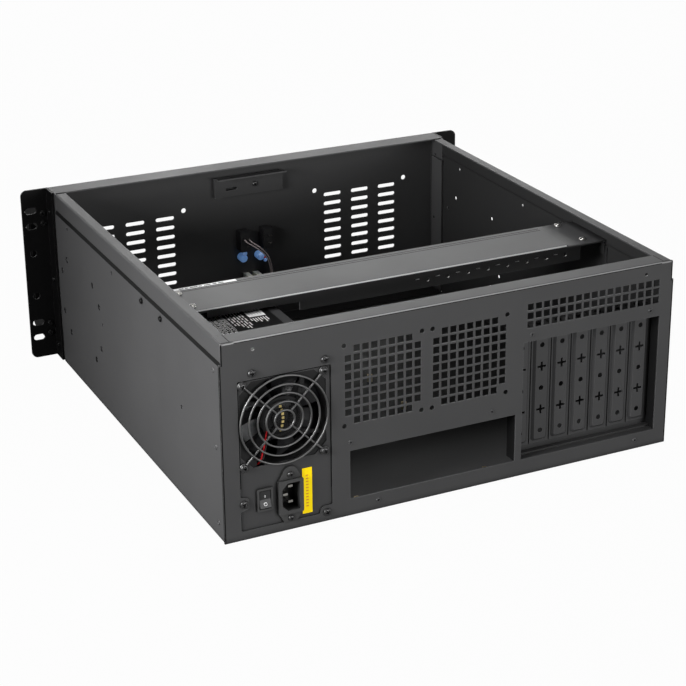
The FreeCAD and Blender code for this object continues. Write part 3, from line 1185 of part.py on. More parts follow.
def control_body(place_xz):
    """Push switch behind the panel: a block that guides the button's stem, with two blades."""
    x, z = place_xz
    width, depth, height = CONTROL_BODY
    block = prism("Y", Y_FACE, Y_FACE + depth,
                  rectangle(x - width / 2, x + width / 2, z - height / 2, z + height / 2), 1.0)
    well = rod_y(BUTTON_RADIUS + BUTTON_COLLAR + BUTTON_CLEARANCE, x, z,
                 Y_FACE - 1, Y_FACE + BUTTON_COLLAR_DEPTH + BUTTON_TRAVEL + 1.0)
    bore = rod_y(BUTTON_STEM_RADIUS + BUTTON_STEM_CLEARANCE, x, z, Y_FACE,
                 Y_FACE + BUTTON_COLLAR_DEPTH + BUTTON_STEM + BUTTON_TRAVEL + 0.8)
    end = Y_FACE + depth
    blades = [box(x + side * 2.5 - 1.1, x + side * 2.5 + 1.1, end, end + TERMINAL_LENGTH,
                  z + TERMINAL_RISE, z + TERMINAL_RISE + 0.6) for side in (-1, 1)]
    return fuse([cut(block, [well, bore])] + blades)


def control_button(place_xz):
    """Round button cap with its collar and stem."""
    x, z = place_xz
    seat = Y_FACE + 0.1
    cap = rod_y(BUTTON_RADIUS, x, z, Y_FRONT - BUTTON_PROUD, seat)
    rim = [edge for edge in cap.Edges if edge.Curve.TypeId == "Part::GeomCircle"
           and abs(edge.Curve.Center.y - (Y_FRONT - BUTTON_PROUD)) < 1e-6]
    cap = cap.makeFillet(0.6, rim)
    collar = rod_y(BUTTON_RADIUS + BUTTON_COLLAR, x, z, seat, seat + BUTTON_COLLAR_DEPTH)
    stem_y = seat + BUTTON_COLLAR_DEPTH
    stem = rod_y(BUTTON_STEM_RADIUS, x, z, stem_y, stem_y + BUTTON_STEM)
    return fuse([cap, collar, stem])


def led_holders():
    """Plugs that keep the lamps in the panel, with a broken rear edge."""
    end, edge = Y_FACE + LED_HOLDER_LENGTH, LED_HOLDER_EDGE
    holders = []
    for x, z in LED_PLACES:
        body = rod_y(LED_HOLDER_RADIUS, x, z, Y_FACE, end - edge)
        tip = Part.makeCone(LED_HOLDER_RADIUS, LED_HOLDER_RADIUS - edge, edge,
                            Vector(x, end - edge, z), Vector(0, 1, 0))
        holders.append(fuse([body, tip]))
    return group(holders)


def leds():
    """Round-headed lamps that stand a little out of the front panel."""
    lamps = []
    middle = Y_FRONT - LED_PROUD + LED_RADIUS * 0.6
    for x, z in LED_PLACES:
        stem = rod_y(LED_RADIUS, x, z, middle, Y_FACE)
        dome = Part.makeSphere(LED_RADIUS, Vector(x, middle, z))
        lamps.append(fuse([stem, dome.cut(box(x - 5, x + 5, middle, middle + 5, z - 5, z + 5))]))
    return group(lamps)


def usb_sockets():
    """Two upright sockets, soldered to the front board and open at the panel."""
    width, depth, height = USB_BODY
    sockets = []
    for x in USB_PLACES:
        shell = box(x - width / 2, x + width / 2, Y_FRONT, Y_FRONT + depth,
                    USB_HEIGHT - height / 2, USB_HEIGHT + height / 2)
        w, h = width / 2 - USB_WALL, height / 2 - USB_WALL
        back = Y_FRONT + depth - 3.0
        port = box(x - w, x + w, Y_FRONT - 1, back, USB_HEIGHT - h, USB_HEIGHT + h)
        tongue = box(x + w - 2.0, x + w - 0.2, Y_FRONT + 1.0, back,
                     USB_HEIGHT - h + 1, USB_HEIGHT + h - 1)
        sockets.append(fuse([shell.cut(port), tongue]))
    return group(sockets)


def front_board():
    """Small circuit board behind the sockets, with the leads' header soldered on."""
    x0, x1, z0, z1 = FRONT_BOARD
    y = Y_FRONT + USB_BODY[1]
    board = box(x0, x1, y, y + BOARD_SHEET, z0, z1)
    y += BOARD_SHEET
    x0, x1, z0, z1 = HEADER
    return fuse([board, box(x0, x1, y, y + HEADER_DEPTH, z0, z1)])


def front_cable():
    """Cable from the reset switch's underside down to the board's header."""
    x, z = RESET_SWITCH
    start = (x, Y_FACE + 7.0, z - CONTROL_BODY[2] / 2)
    end_y = Y_FRONT + USB_BODY[1] + BOARD_SHEET + HEADER_DEPTH / 2
    end_x, end_z = HEADER[0] + 3.5, HEADER[3]
    points = [start, (x - 0.3, start[1], start[2] - 9.0), (end_x, end_y - 1.5, end_z + 15.0),
              (end_x, end_y, end_z)]
    return tube(points, CABLE_RADIUS)


def power_leads():
    """Two thin leads from the power switch's blades, across to the header."""
    x, z = POWER_SWITCH
    y = Y_FACE + CONTROL_BODY[1] + TERMINAL_LENGTH
    end_x, end_z = HEADER[1] - 1.4, HEADER[3]
    end_y = Y_FRONT + USB_BODY[1] + BOARD_SHEET + HEADER_DEPTH * 0.75
    leads = []
    for side in (-1, 1):
        points = [(x + side * 2.5, y, z + TERMINAL_RISE + 0.3),
                  (x + side * 2.5 - 0.5, y + 4.0, z + 2.0),
                  (x + side * 2.0 - 9.0, y + 8.0, z - 4.0),
                  (x + side * 1.2 - 19.0, y + 8.0, z - 14.0),
                  (end_x + side * 0.75, y + 4.0, end_z + 18.0),
                  (end_x + side * 0.75, end_y, end_z)]
        leads.append(tube(points, LEAD_RADIUS))
    return group(leads)


def latch_bracket():
    """Small folded bracket at the top of the front panel, with a slot for the lock's tongue."""
    x0, x1, z0, z1 = LATCH_SPAN
    plate_y = Y_FACE + LATCH_PROUD
    line = [(plate_y, z0), (plate_y, z1), (plate_y + LATCH_LIP, z1 + 1.5)]
    plate = folded_sheet("X", x0, x1, line[::-1], SHEET)
    sides = [box(x, x + SHEET, Y_FACE, plate_y + SHEET / 2, z0, z1 - SHEET) for x in (x0, x1 - SHEET)]
    through = (Y_FACE, plate_y + 2 * SHEET)
    tools = [rod_y(SCREW_RADIUS, *LATCH_SCREW, *through), slot("Y", *through, *LATCH_SLOT, 13.0, 3.4)]
    return cut(fuse([plate] + sides), tools)


def latch_screw():
    x, z = LATCH_SCREW
    return pan_screw(x, Y_FACE + LATCH_PROUD + SHEET, z, (0, -1, 0), LATCH_PROUD + 1.8 * SHEET, head=3.0)


# ---------------------------------------------------------------- nodes
def all_nodes():
    red_lead, black_lead = fan_leads()
    ear, grip = rack_ear(), handle()
    nodes = {
        "chassis_tub": chassis_tub(), "rear_panel": rear_panel(), "front_panel": front_panel(),
        "rack_ear_right": ear, "rack_ear_left": mirror_x(ear),
        "handle_right": grip, "handle_left": mirror_x(grip),
        "side_screws": side_screws(), "handle_screws": handle_screws(), "rivets": rivets(),
        "crossbar": crossbar(), "crossbar_label": crossbar_label(), "crossbar_screws": crossbar_screws(),
        "crossbar_bracket_right": crossbar_bracket(1),
        "crossbar_bracket_left": mirror_x(crossbar_bracket(-1)),
        "slot_frame": slot_frame(), "slot_cover_screws": slot_cover_screws(),
        "board_standoffs": board_standoffs(),
        "psu_tray": psu_tray(), "psu_cover": psu_cover(), "psu_cover_screws": psu_cover_screws(),
        "psu_screws": psu_screws(), "psu_label": psu_label(), "psu_grommet": psu_grommet(),
        "psu_board": psu_board(), "psu_heatsinks": psu_heatsinks(),
        "psu_transformer": psu_transformer(), "psu_capacitors": psu_capacitors(),
        "fan_frame": fan_frame(), "fan_rotor": fan_rotor(), "fan_guard": fan_guard(),
        "guard_screws": guard_screws(), "fan_lead_red": red_lead, "fan_lead_black": black_lead,
        "power_inlet": power_inlet(), "inlet_pins": inlet_pins(), "inlet_screws": inlet_screws(),
        "switch_bezel": switch_bezel(), "switch_rocker": switch_rocker(), "seal_sticker": seal_sticker(),
        "power_switch": control_body(POWER_SWITCH), "power_button": control_button(POWER_SWITCH),
        "reset_switch": control_body(RESET_SWITCH), "reset_button": control_button(RESET_SWITCH),
        "led_holders": led_holders(), "leds": leds(),
        "usb_sockets": usb_sockets(), "front_board": front_board(),
        "front_cable": front_cable(), "power_leads": power_leads(),
        "latch_bracket": latch_bracket(), "latch_screw": latch_screw(),
    }
    for index in range(SLOT_COUNT):
        nodes["slot_cover_%d" % (index + 1)] = slot_cover(index)
    return nodes


os.makedirs("parts", exist_ok=True)
for name, shape in all_nodes().items():
    shape.exportStep(os.path.join("parts", name + ".step"))
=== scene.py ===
"""Looks of the empty rackmount server case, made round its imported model: finishes, screw heads,
marks, studio and camera. Lengths are in metres; the case faces -Y and stands on z = 0."""
import math
import bmesh
import bpy
from mathutils import Matrix, Vector


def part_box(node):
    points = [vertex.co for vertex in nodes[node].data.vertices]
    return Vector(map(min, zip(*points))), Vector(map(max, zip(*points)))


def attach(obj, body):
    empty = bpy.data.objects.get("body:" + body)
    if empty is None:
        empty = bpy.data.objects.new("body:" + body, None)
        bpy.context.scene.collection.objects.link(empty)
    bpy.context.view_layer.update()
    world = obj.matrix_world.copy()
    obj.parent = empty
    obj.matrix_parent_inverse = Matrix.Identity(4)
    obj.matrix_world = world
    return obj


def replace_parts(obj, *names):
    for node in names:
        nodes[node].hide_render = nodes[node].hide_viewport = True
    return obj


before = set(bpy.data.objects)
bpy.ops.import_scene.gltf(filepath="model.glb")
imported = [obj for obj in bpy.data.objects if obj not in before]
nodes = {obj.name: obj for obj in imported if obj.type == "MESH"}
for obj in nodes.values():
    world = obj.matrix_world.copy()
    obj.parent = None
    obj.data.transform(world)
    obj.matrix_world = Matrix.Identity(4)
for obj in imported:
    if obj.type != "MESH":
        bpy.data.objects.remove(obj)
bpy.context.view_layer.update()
scene = bpy.context.scene
scene.view_settings.view_transform = "Standard"


def node_box(node):
    """Lowest and highest corner of a CAD node."""
    low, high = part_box(node)
    return Vector(low), Vector(high)


WALL, REAR, TOP = node_box("rear_panel")[1]      # the case's outer faces
SEAT_FOOT = 0.157                                # the walls step in here, for the cover
SLOTS = range(1, 8)
PROUD = 0.00003                                  # how far a drawn line stands out


# ---------------------------------------------------------------- material nodes
def new_material(name):
    material = bpy.data.materials.new(name)
    material.use_nodes = True
    tree = material.node_tree
    return material, tree, tree.nodes["Principled BSDF"]


def noise(tree, scale, detail):
    """Noise in the object's own coordinates."""
    place = tree.nodes.new("ShaderNodeTexCoord")
    grain = tree.nodes.new("ShaderNodeTexNoise")
    grain.inputs["Scale"].default_value = scale
    grain.inputs["Detail"].default_value = detail
    grain.inputs["Roughness"].default_value = 0.6
    tree.links.new(place.outputs["Object"], grain.inputs["Vector"])
    return grain.outputs["Fac"]


def ramp(tree, source, low, high, a=0.0, b=1.0):
    """Value that goes from a to b while the source goes from low to high."""
    spread = tree.nodes.new("ShaderNodeMapRange")
    spread.inputs["From Min"].default_value = low
    spread.inputs["From Max"].default_value = high
    spread.inputs["To Min"].default_value = a
    spread.inputs["To Max"].default_value = b
    tree.links.new(source, spread.inputs["Value"])
    return spread.outputs["Result"]


def following(tree, grain, a=0.0, b=1.0):
    """Value from a to b that follows a noise, which mostly lies between 0.3 and 0.7."""
    return ramp(tree, grain, 0.3, 0.7, a, b)


def bump(tree, bsdf, source, strength, distance):
    relief = tree.nodes.new("ShaderNodeBump")
    relief.inputs["Strength"].default_value = strength
    relief.inputs["Distance"].default_value = distance
    tree.links.new(source, relief.inputs["Height"])
    tree.links.new(relief.outputs["Normal"], bsdf.inputs["Normal"])


def uneven(tree, grain, colour, spread):
    """Colour that wavers by a share of itself with a noise."""
    mix = tree.nodes.new("ShaderNodeMixRGB")
    mix.inputs["Color1"].default_value = [c * (1 - spread) for c in colour] + [1]
    mix.inputs["Color2"].default_value = [min(1, c * (1 + spread)) for c in colour] + [1]
    tree.links.new(following(tree, grain), mix.inputs["Fac"])
    return mix.outputs["Color"]


def edge_mask(tree, radius):
    """1 along folds and cut edges, 0 on flat stretches."""
    rounded = tree.nodes.new("ShaderNodeBevel")
    rounded.samples = 4
    rounded.inputs["Radius"].default_value = radius
    geometry = tree.nodes.new("ShaderNodeNewGeometry")
    likeness = tree.nodes.new("ShaderNodeVectorMath")
    likeness.operation = "DOT_PRODUCT"
    tree.links.new(rounded.outputs["Normal"], likeness.inputs[0])
    tree.links.new(geometry.outputs["Normal"], likeness.inputs[1])
    return ramp(tree, likeness.outputs["Value"], 0.985, 0.85)


def coated(name, colour, roughness=0.5, specular=0.5, edge_sheen=0.55):
    """Powder coat: fine orange-peel grain, slightly uneven gloss, and a painted highlight that makes folds
    and cut edges paler.
    """
    material, tree, bsdf = new_material(name)
    patches = noise(tree, 9.0, 4.0)
    # painted highlight: folds and cut edges get a paler colour
    sheen_share = tree.nodes.new("ShaderNodeMath")
    sheen_share.operation = "MULTIPLY"
    sheen_share.inputs[1].default_value = edge_sheen
    tree.links.new(edge_mask(tree, 0.0006), sheen_share.inputs[0])
    edge = tree.nodes.new("ShaderNodeMixRGB")
    edge.inputs["Color2"].default_value = [min(1, c * 3.5 + 0.01) for c in colour] + [1]
    tree.links.new(uneven(tree, patches, colour, 0.06), edge.inputs["Color1"])
    tree.links.new(sheen_share.outputs[0], edge.inputs["Fac"])
    tree.links.new(edge.outputs["Color"], bsdf.inputs["Base Color"])
    tree.links.new(following(tree, patches, roughness - 0.04, roughness + 0.04), bsdf.inputs["Roughness"])
    bsdf.inputs["Specular IOR Level"].default_value = specular
    bump(tree, bsdf, noise(tree, 900.0, 2.0), strength=0.35, distance=0.00005)
    return material


def moulded(name, colour, roughness=0.45, specular=0.5):
    """Moulded plastic, paper or paint with a fine texture."""
    material, tree, bsdf = new_material(name)
    tree.links.new(uneven(tree, noise(tree, 30.0, 4.0), colour, 0.08), bsdf.inputs["Base Color"])
    fine = noise(tree, 1400.0, 2.0)
    tree.links.new(following(tree, fine, roughness - 0.05, roughness + 0.05), bsdf.inputs["Roughness"])
    bsdf.inputs["Specular IOR Level"].default_value = specular
    bump(tree, bsdf, fine, strength=0.3, distance=0.00003)
    return material


def metal(name, colour, roughness=0.3):
    """Bare metal with a slightly uneven polish."""
    material, tree, bsdf = new_material(name)
    tree.links.new(uneven(tree, noise(tree, 60.0, 4.0), colour, 0.1), bsdf.inputs["Base Color"])
    bsdf.inputs["Metallic"].default_value = 1.0
    fine = noise(tree, 300.0, 3.0)
    tree.links.new(following(tree, fine, roughness - 0.08, roughness + 0.08), bsdf.inputs["Roughness"])
    bump(tree, bsdf, fine, strength=0.2, distance=0.00002)
    return material


def fade(material, dark, brightness):
    """Fades the base colour to a dark grey where brightness, from 0 to 1, is low."""
    tree = material.node_tree
    base = tree.nodes["Principled BSDF"].inputs["Base Color"]
    dim = tree.nodes.new("ShaderNodeMixRGB")
    dim.inputs["Color1"].default_value = (dark, dark, dark, 1)
    tree.links.new(brightness, dim.inputs["Fac"])
    tree.links.new(base.links[0].from_socket, dim.inputs["Color2"])
    tree.links.new(dim.outputs["Color"], base)


def paint_shade_along_depth(material, y_dark, y_light, dark):
    """Painted shade: the base colour darkens toward the middle of the case and keeps full tone near the
    rear.
    """
    tree = material.node_tree
    geometry = tree.nodes.new("ShaderNodeNewGeometry")
    axes = tree.nodes.new("ShaderNodeSeparateXYZ")
    tree.links.new(geometry.outputs["Position"], axes.inputs[0])
    fade(material, dark, ramp(tree, axes.outputs["Y"], y_dark, y_light))


def shade_hollows(material, reach):
    """Painted shade: darkens the base colour inside hollows about as narrow as reach."""
    tree = material.node_tree
    open_sky = tree.nodes.new("ShaderNodeAmbientOcclusion")
    open_sky.samples = 6
    open_sky.inputs["Distance"].default_value = reach
    fade(material, 0.001, ramp(tree, open_sky.outputs["AO"], 0.4, 0.95))


def painted_glow(material, colour, strength):
    """Painted glow: the material gives back a little light of its own colour, though it is no lamp."""
    bsdf = material.node_tree.nodes["Principled BSDF"]
    bsdf.inputs["Emission Color"].default_value = (*colour, 1)
    bsdf.inputs["Emission Strength"].default_value = strength


# ---------------------------------------------------------------- finishes
# powder coats: the inside ones are darker copies of the case coat, painted shade on the floor, the inner
# walls and faces and the slots' recess; the fold ones are paler copies, painted highlights
case_black = coated("case_black", (0.048, 0.048, 0.049), specular=0.4)
case_inside_shade = coated("case_inside_shade", (0.036, 0.036, 0.0365), specular=0.3)
case_floor_shade = coated("case_floor_shade", (0.055, 0.055, 0.0555), specular=0.2)
case_wall_shade = coated("case_wall_shade", (0.02, 0.02, 0.0203), specular=0.25)
case_deep_shade = coated("case_deep_shade", (0.008, 0.008, 0.0082), 0.55, specular=0.15, edge_sheen=0.2)
supply_black = coated("supply_black", (0.042, 0.042, 0.043), specular=0.4)
ear_black = coated("ear_black", (0.003, 0.003, 0.0031), 0.45, specular=0.12, edge_sheen=1.0)
handle_black = coated("handle_black", (0.002, 0.002, 0.0021), 0.35, specular=0.12)
screw_black = coated("screw_black", (0.022, 0.022, 0.0225), 0.34, specular=0.6, edge_sheen=0.4)
# paler copies of the coat for the upper rear folds: painted highlights
fold_highlight = coated("fold_highlight", (0.45, 0.45, 0.45), 0.4)
fold_highlight_soft = coated("fold_highlight_soft", (0.26, 0.26, 0.26), 0.45)

# plastic, rubber, paper, paint and boards
plastic_black = moulded("plastic_black", (0.012, 0.012, 0.013), 0.5)
fan_grey = moulded("fan_grey", (0.01, 0.01, 0.0102), specular=0.3)
inlet_black = moulded("inlet_black", (0.05, 0.05, 0.05), 0.4)
rocker_grey = moulded("rocker_grey", (0.03, 0.03, 0.031), 0.4, specular=0.3)
rubber_black = moulded("rubber_black", (0.015, 0.015, 0.015), 0.6)
# pale paint on the lower lips of punched holes: painted glints
cut_edge_glint = moulded("cut_edge_glint", (0.55, 0.55, 0.54), 0.35)
# near-black for painted shade lines, and for the dark seams between parts
shade_and_seam_dark = moulded("shade_and_seam_dark", (0.006, 0.006, 0.006), 0.6, specular=0.1)
# pale tin of the sockets' shells, made paler still as a painted sheen
socket_shell_sheen = moulded("socket_shell_sheen", (0.98, 0.93, 0.8), 0.25)
seal_yellow = moulded("seal_yellow", (0.98, 0.71, 0.001), 0.5, specular=0.2)
seal_orange = moulded("seal_print", (0.8, 0.42, 0.01), 0.5)
label_dark = moulded("label_dark", (0.006, 0.006, 0.006), 0.5, specular=0.2)
label_white = moulded("label_white", (0.9, 0.9, 0.9), 0.5)
mark_white = moulded("mark_white", (0.9, 0.9, 0.9), 0.5)
print_grey = moulded("print_grey", (0.5, 0.5, 0.5), 0.5)
hub_film = moulded("hub_film", (0.006, 0.006, 0.006), 0.25)
board_brown = moulded("board_brown", (0.3, 0.2, 0.09), 0.5)
board_green = moulded("board_green", (0.02, 0.1, 0.05), 0.4)
ferrite = moulded("ferrite", (0.03, 0.028, 0.027), 0.6)
sleeve_dark = moulded("capacitor_sleeve", (0.02, 0.02, 0.04), 0.3)
lead_red = moulded("lead_red", (0.6, 0.01, 0.015), 0.4)
lead_black = moulded("lead_black", (0.03, 0.03, 0.03), 0.4)
lead_pale = moulded("lead_pale", (0.42, 0.36, 0.36), 0.35)
holder_blue = moulded("holder_blue", (0.3, 0.56, 1.0), 0.3)
led_blue = moulded("led_blue", (0.35, 0.5, 0.8), 0.15)

# bare metal
screw_bright = metal("screw_bright", (0.55, 0.54, 0.52))
guard_wire = metal("guard_wire", (0.15, 0.15, 0.15), 0.48)
pin_metal = metal("pin_metal", (0.85, 0.83, 0.78), 0.2)
brass_metal = metal("brass_metal", (0.4, 0.31, 0.17), 0.35)
sink_metal = metal("sink_metal", (0.2, 0.2, 0.21), 0.35)
gold = metal("gold_print", (0.75, 0.6, 0.25), 0.4)

# painted shade: the inner floor darkens toward the middle of the case
paint_shade_along_depth(case_floor_shade, y_dark=0.115, y_light=0.195, dark=0.005)
# painted shade in the hollows of these finishes
for material, reach in ((inlet_black, 0.012), (case_black, 0.006), (supply_black, 0.004),
                        (screw_black, 0.002), (rocker_grey, 0.004)):
    shade_hollows(material, reach)
# painted glow on the seal and on the blue holders and caps of the lamps
painted_glow(seal_yellow, (1.0, 0.7, 0.0), 0.28)
for material in (holder_blue, led_blue):
    painted_glow(material, (0.2, 0.42, 0.9), 0.2)

finish = {
    "chassis_tub": case_black, "rear_panel": case_black, "front_panel": case_black,
    "rack_ear_right": ear_black, "rack_ear_left": ear_black,
    "handle_right": handle_black, "handle_left": handle_black,
    "side_screws": ear_black, "handle_screws": ear_black, "rivets": case_black,
    "crossbar": case_black, "crossbar_label": label_white, "crossbar_screws": screw_bright,
    # the crossbar's brackets get the darker inner-wall coat: painted shade
    "crossbar_bracket_right": case_wall_shade, "crossbar_bracket_left": case_wall_shade,
    "slot_frame": case_black, "slot_cover_screws": ear_black, "board_standoffs": brass_metal,
    "psu_tray": supply_black, "psu_cover": supply_black, "psu_cover_screws": screw_black,
    "psu_screws": screw_black, "psu_label": label_dark, "psu_grommet": rubber_black,
    "psu_board": board_brown, "psu_heatsinks": sink_metal, "psu_transformer": ferrite,
    "psu_capacitors": sleeve_dark, "fan_frame": fan_grey, "fan_rotor": plastic_black,
    "fan_guard": guard_wire, "guard_screws": screw_black, "fan_lead_red": lead_red,
    "fan_lead_black": lead_black, "power_inlet": inlet_black, "inlet_pins": pin_metal,
    "inlet_screws": screw_black, "switch_bezel": inlet_black, "switch_rocker": rocker_grey,
    "seal_sticker": seal_yellow, "power_switch": plastic_black, "power_button": plastic_black,
    "reset_switch": plastic_black, "reset_button": plastic_black, "led_holders": holder_blue,
    "leds": led_blue, "usb_sockets": socket_shell_sheen, "front_board": board_green,
    "front_cable": lead_black, "power_leads": lead_pale, "latch_bracket": case_black,
    "latch_screw": screw_black,
}
for number in SLOTS:
    finish["slot_cover_%d" % number] = case_black
for name, material in finish.items():
    mesh = nodes[name].data
    mesh.materials.clear()
    mesh.materials.append(material)


# ---------------------------------------------------------------- other finishes on single faces: painted shade and painted highlights
FAR = 1.0
ANYWHERE = (-FAR, FAR)
UP = (0, 0, 1)
REARWARD = (0, 1, 0)
SIDEWAYS = (1, 0, 0)
INWARD = (-1, 0, 0)
UP_AND_REARWARD = (0, 1, 1)


def within(x=ANYWHERE, y=ANYWHERE, z=ANYWHERE, facing=UP, least=0.7, both_sides=False):
    """Test for a CAD face: its middle lies in these ranges, and its normal is more than least along
    each axis that facing names. With both_sides, what is said of the +X side holds for -X too."""
    def chosen(middle, normal):
        side = -1 if both_sides and middle.x < 0 else 1
        place = (middle.x * side, middle.y, middle.z)
        way = (normal.x * side, normal.y, normal.z)
        in_reach = all(low < p < high for p, (low, high) in zip(place, (x, y, z)))
        return in_reach and all(w * f > least for w, f in zip(way, facing) if f)
    return chosen


def refinish(node, material, *tests):
    """Gives another finish to the CAD faces that pass one of the tests; here it paints shade or highlights
    on them.
    """
    mesh = nodes[node].data
    mesh.materials.append(material)
    slot = len(mesh.materials) - 1
    place = nodes[node].matrix_world
    turn = place.to_3x3()
    for face in mesh.polygons:
        middle, normal = place @ face.center, turn @ face.normal
        if any(test(middle, normal) for test in tests):
            face.material_index = slot


# the hollow cones round the drive holes, a ring of eight in each side wall: (y, z)
DIMPLES = [(-0.1315 + side * out, z) for side in (-1, 1)
           for out, z in ((0.0385, 0.118), (0.0555, 0.102), (0.0555, 0.06), (0.0385, 0.043))]


def on_dimple(middle, normal):
    close = any(math.hypot(middle.y - y, middle.z - z) < 0.0032 for y, z in DIMPLES)
    return close and abs(middle.x) > WALL - 0.002 and 0.05 < abs(normal.x) < 0.97


tub_front = node_box("chassis_tub")[0].y
bar_low, bar_high = node_box("crossbar")
frame_low, frame_high = node_box("slot_frame")
slot_heads = (frame_high.z - 0.013, FAR)
bar_fold_foot = bar_high.z - 0.0012

# painted shade on the inside: darker copies of the coat on the floor, walls, front and the recess of the
# slots
refinish("latch_bracket", case_inside_shade, within(facing=REARWARD))
refinish("chassis_tub", case_floor_shade,
         within(x=(-FAR, WALL - 0.001), y=(tub_front + 0.0001, FAR), z=(-FAR, 0.0025), both_sides=True))
refinish("chassis_tub", case_wall_shade,
         within(x=(WALL - 0.003, WALL - 0.0008), facing=INWARD, both_sides=True))
refinish("slot_frame", case_deep_shade, within(x=(-FAR, frame_low.x + 0.0085), facing=SIDEWAYS),
         within(x=(frame_high.x - 0.0024, FAR), facing=SIDEWAYS))
refinish("slot_frame", case_deep_shade, within(z=slot_heads))
for number in SLOTS:
    refinish("slot_cover_%d" % number, case_deep_shade, within(z=slot_heads))
refinish("crossbar", case_wall_shade,
         within(y=(bar_high.y - 0.001, FAR), z=(-FAR, bar_fold_foot), facing=REARWARD))
refinish("slot_frame", case_inside_shade, within(z=(-FAR, frame_low.z + 0.01)))
refinish("front_panel", case_inside_shade, within(z=(-FAR, TOP - 0.004), facing=REARWARD))

# painted shade: the slope of the cover's seat and the cones round the drive holes get near-black
refinish("chassis_tub", shade_and_seam_dark,
         within(x=(WALL - 0.0016, FAR), z=(SEAT_FOOT - 0.0001, SEAT_FOOT + 0.0031), least=0.1,
                both_sides=True))
refinish("chassis_tub", shade_and_seam_dark, on_dimple)

# painted glints: pale paint on the lower lips of punched holes; painted highlights: a paler coat on the
# upper rear folds
refinish("crossbar", cut_edge_glint,
         within(x=(-FAR, 0), y=(bar_high.y - 0.0013, FAR), z=(bar_high.z - 0.0112, bar_high.z - 0.007),
                least=0.3))
refinish("crossbar", fold_highlight,
         within(y=(bar_high.y - 0.0011, FAR), z=(bar_fold_foot, FAR), facing=UP_AND_REARWARD, least=0.35))
refinish("rear_panel", fold_highlight_soft,
         within(y=(REAR - 0.0011, FAR), z=(TOP - 0.0015, FAR), facing=UP_AND_REARWARD, least=0.35))
refinish("rear_panel", cut_edge_glint,
         within(x=(0.184, 0.188), y=(REAR - 0.0013, REAR + 0.0001), z=(0.1645, 0.1672), least=0.3,
                both_sides=True))


# ---------------------------------------------------------------- small mesh tools
def islands(node):
    """Lowest and highest corner of each separate solid in a CAD node, at rest."""
    bm = bmesh.new()
    bm.from_mesh(nodes[node].data)
    bm.transform(nodes[node].matrix_world)
    bmesh.ops.remove_doubles(bm, verts=bm.verts, dist=1e-6)
    seen, boxes = set(), []
    for first in bm.verts:
        if first in seen:
            continue
        seen.add(first)
        waiting, members = [first], []
        while waiting:
            vert = waiting.pop()
            members.append(vert.co.copy())
            for edge in vert.link_edges:
                other = edge.other_vert(vert)
                if other not in seen:
                    seen.add(other)
                    waiting.append(other)
        low = Vector([min(c[k] for c in members) for k in range(3)])
        high = Vector([max(c[k] for c in members) for k in range(3)])
        boxes.append((low, high))
    bm.free()
    return boxes


def link(name, mesh, material, body="case"):
    """Puts a mesh into the scene as a piece that rides on a CAD body."""
    obj = bpy.data.objects.new(name, mesh)
    scene.collection.objects.link(obj)
    mesh.materials.append(material)
    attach(obj, body)
    return obj


def from_bmesh(name, bm):
    """Mesh with outward normals, smooth up to 35 degrees."""
    mesh = bpy.data.meshes.new(name)
    bmesh.ops.recalc_face_normals(bm, faces=bm.faces)
    bm.to_mesh(mesh)
    bm.free()
    for face in mesh.polygons:
        face.use_smooth = True
    mesh.set_sharp_from_angle(angle=math.radians(35))
    return mesh


def lathe(profile, steps):
    """Solid turned about +Z from (radius, height) points; the ends lie on the axis."""
    bm = bmesh.new()
    rings = []
    for radius, z in profile:
        turns = [2 * math.pi * k / steps for k in range(steps if radius else 1)]
        rings.append([bm.verts.new((radius * math.cos(a), radius * math.sin(a), z)) for a in turns])
    for a, b in zip(rings, rings[1:]):
        for k in range(steps):
            after = (k + 1) % steps
            corners = [a[k % len(a)], a[after % len(a)], b[after % len(b)], b[k % len(b)]]
            bm.faces.new(list(dict.fromkeys(corners)))
    return bm


def aimed(direction):
    """Rotation that turns +Z to a direction."""
    return direction.to_track_quat("Z", "Y").to_matrix().to_4x4()


def add_copy(bm, unit, place):
    """Adds a copy of a mesh, moved by a matrix."""
    copy = unit.copy()
    copy.transform(place)
    bm.from_mesh(copy)
    bpy.data.meshes.remove(copy)


def thin_boxes(name, boxes, material):
    """Flat marks in one piece, each a box from a low to a high corner."""
    bm = bmesh.new()
    for low, high in boxes:
        bounds = list(zip(low, high))
        v = [bm.verts.new((x, y, z)) for x in bounds[0] for y in bounds[1] for z in bounds[2]]
        for f in ((0, 1, 3, 2), (4, 6, 7, 5), (0, 4, 5, 1), (2, 3, 7, 6), (0, 2, 6, 4), (1, 5, 7, 3)):
            bm.faces.new([v[i] for i in f])
    return link(name, from_bmesh(name, bm), material)


def beads(name, places, material):
    """Small flattened balls at (x, y, z, radius)."""
    bm = bmesh.new()
    for x, y, z, radius in places:
        place = Matrix.Translation((x, y, z)) @ Matrix.Diagonal((1, 0.7, 1, 1))
        bmesh.ops.create_uvsphere(bm, u_segments=24, v_segments=14, radius=radius, matrix=place)
    return link(name, from_bmesh(name, bm), material)


# ---------------------------------------------------------------- screws and rivets
SCREW_HEAD = 0.002                               # height of a pan head
UNIT_HEAD = 0.62                                 # the same on a head of radius 1


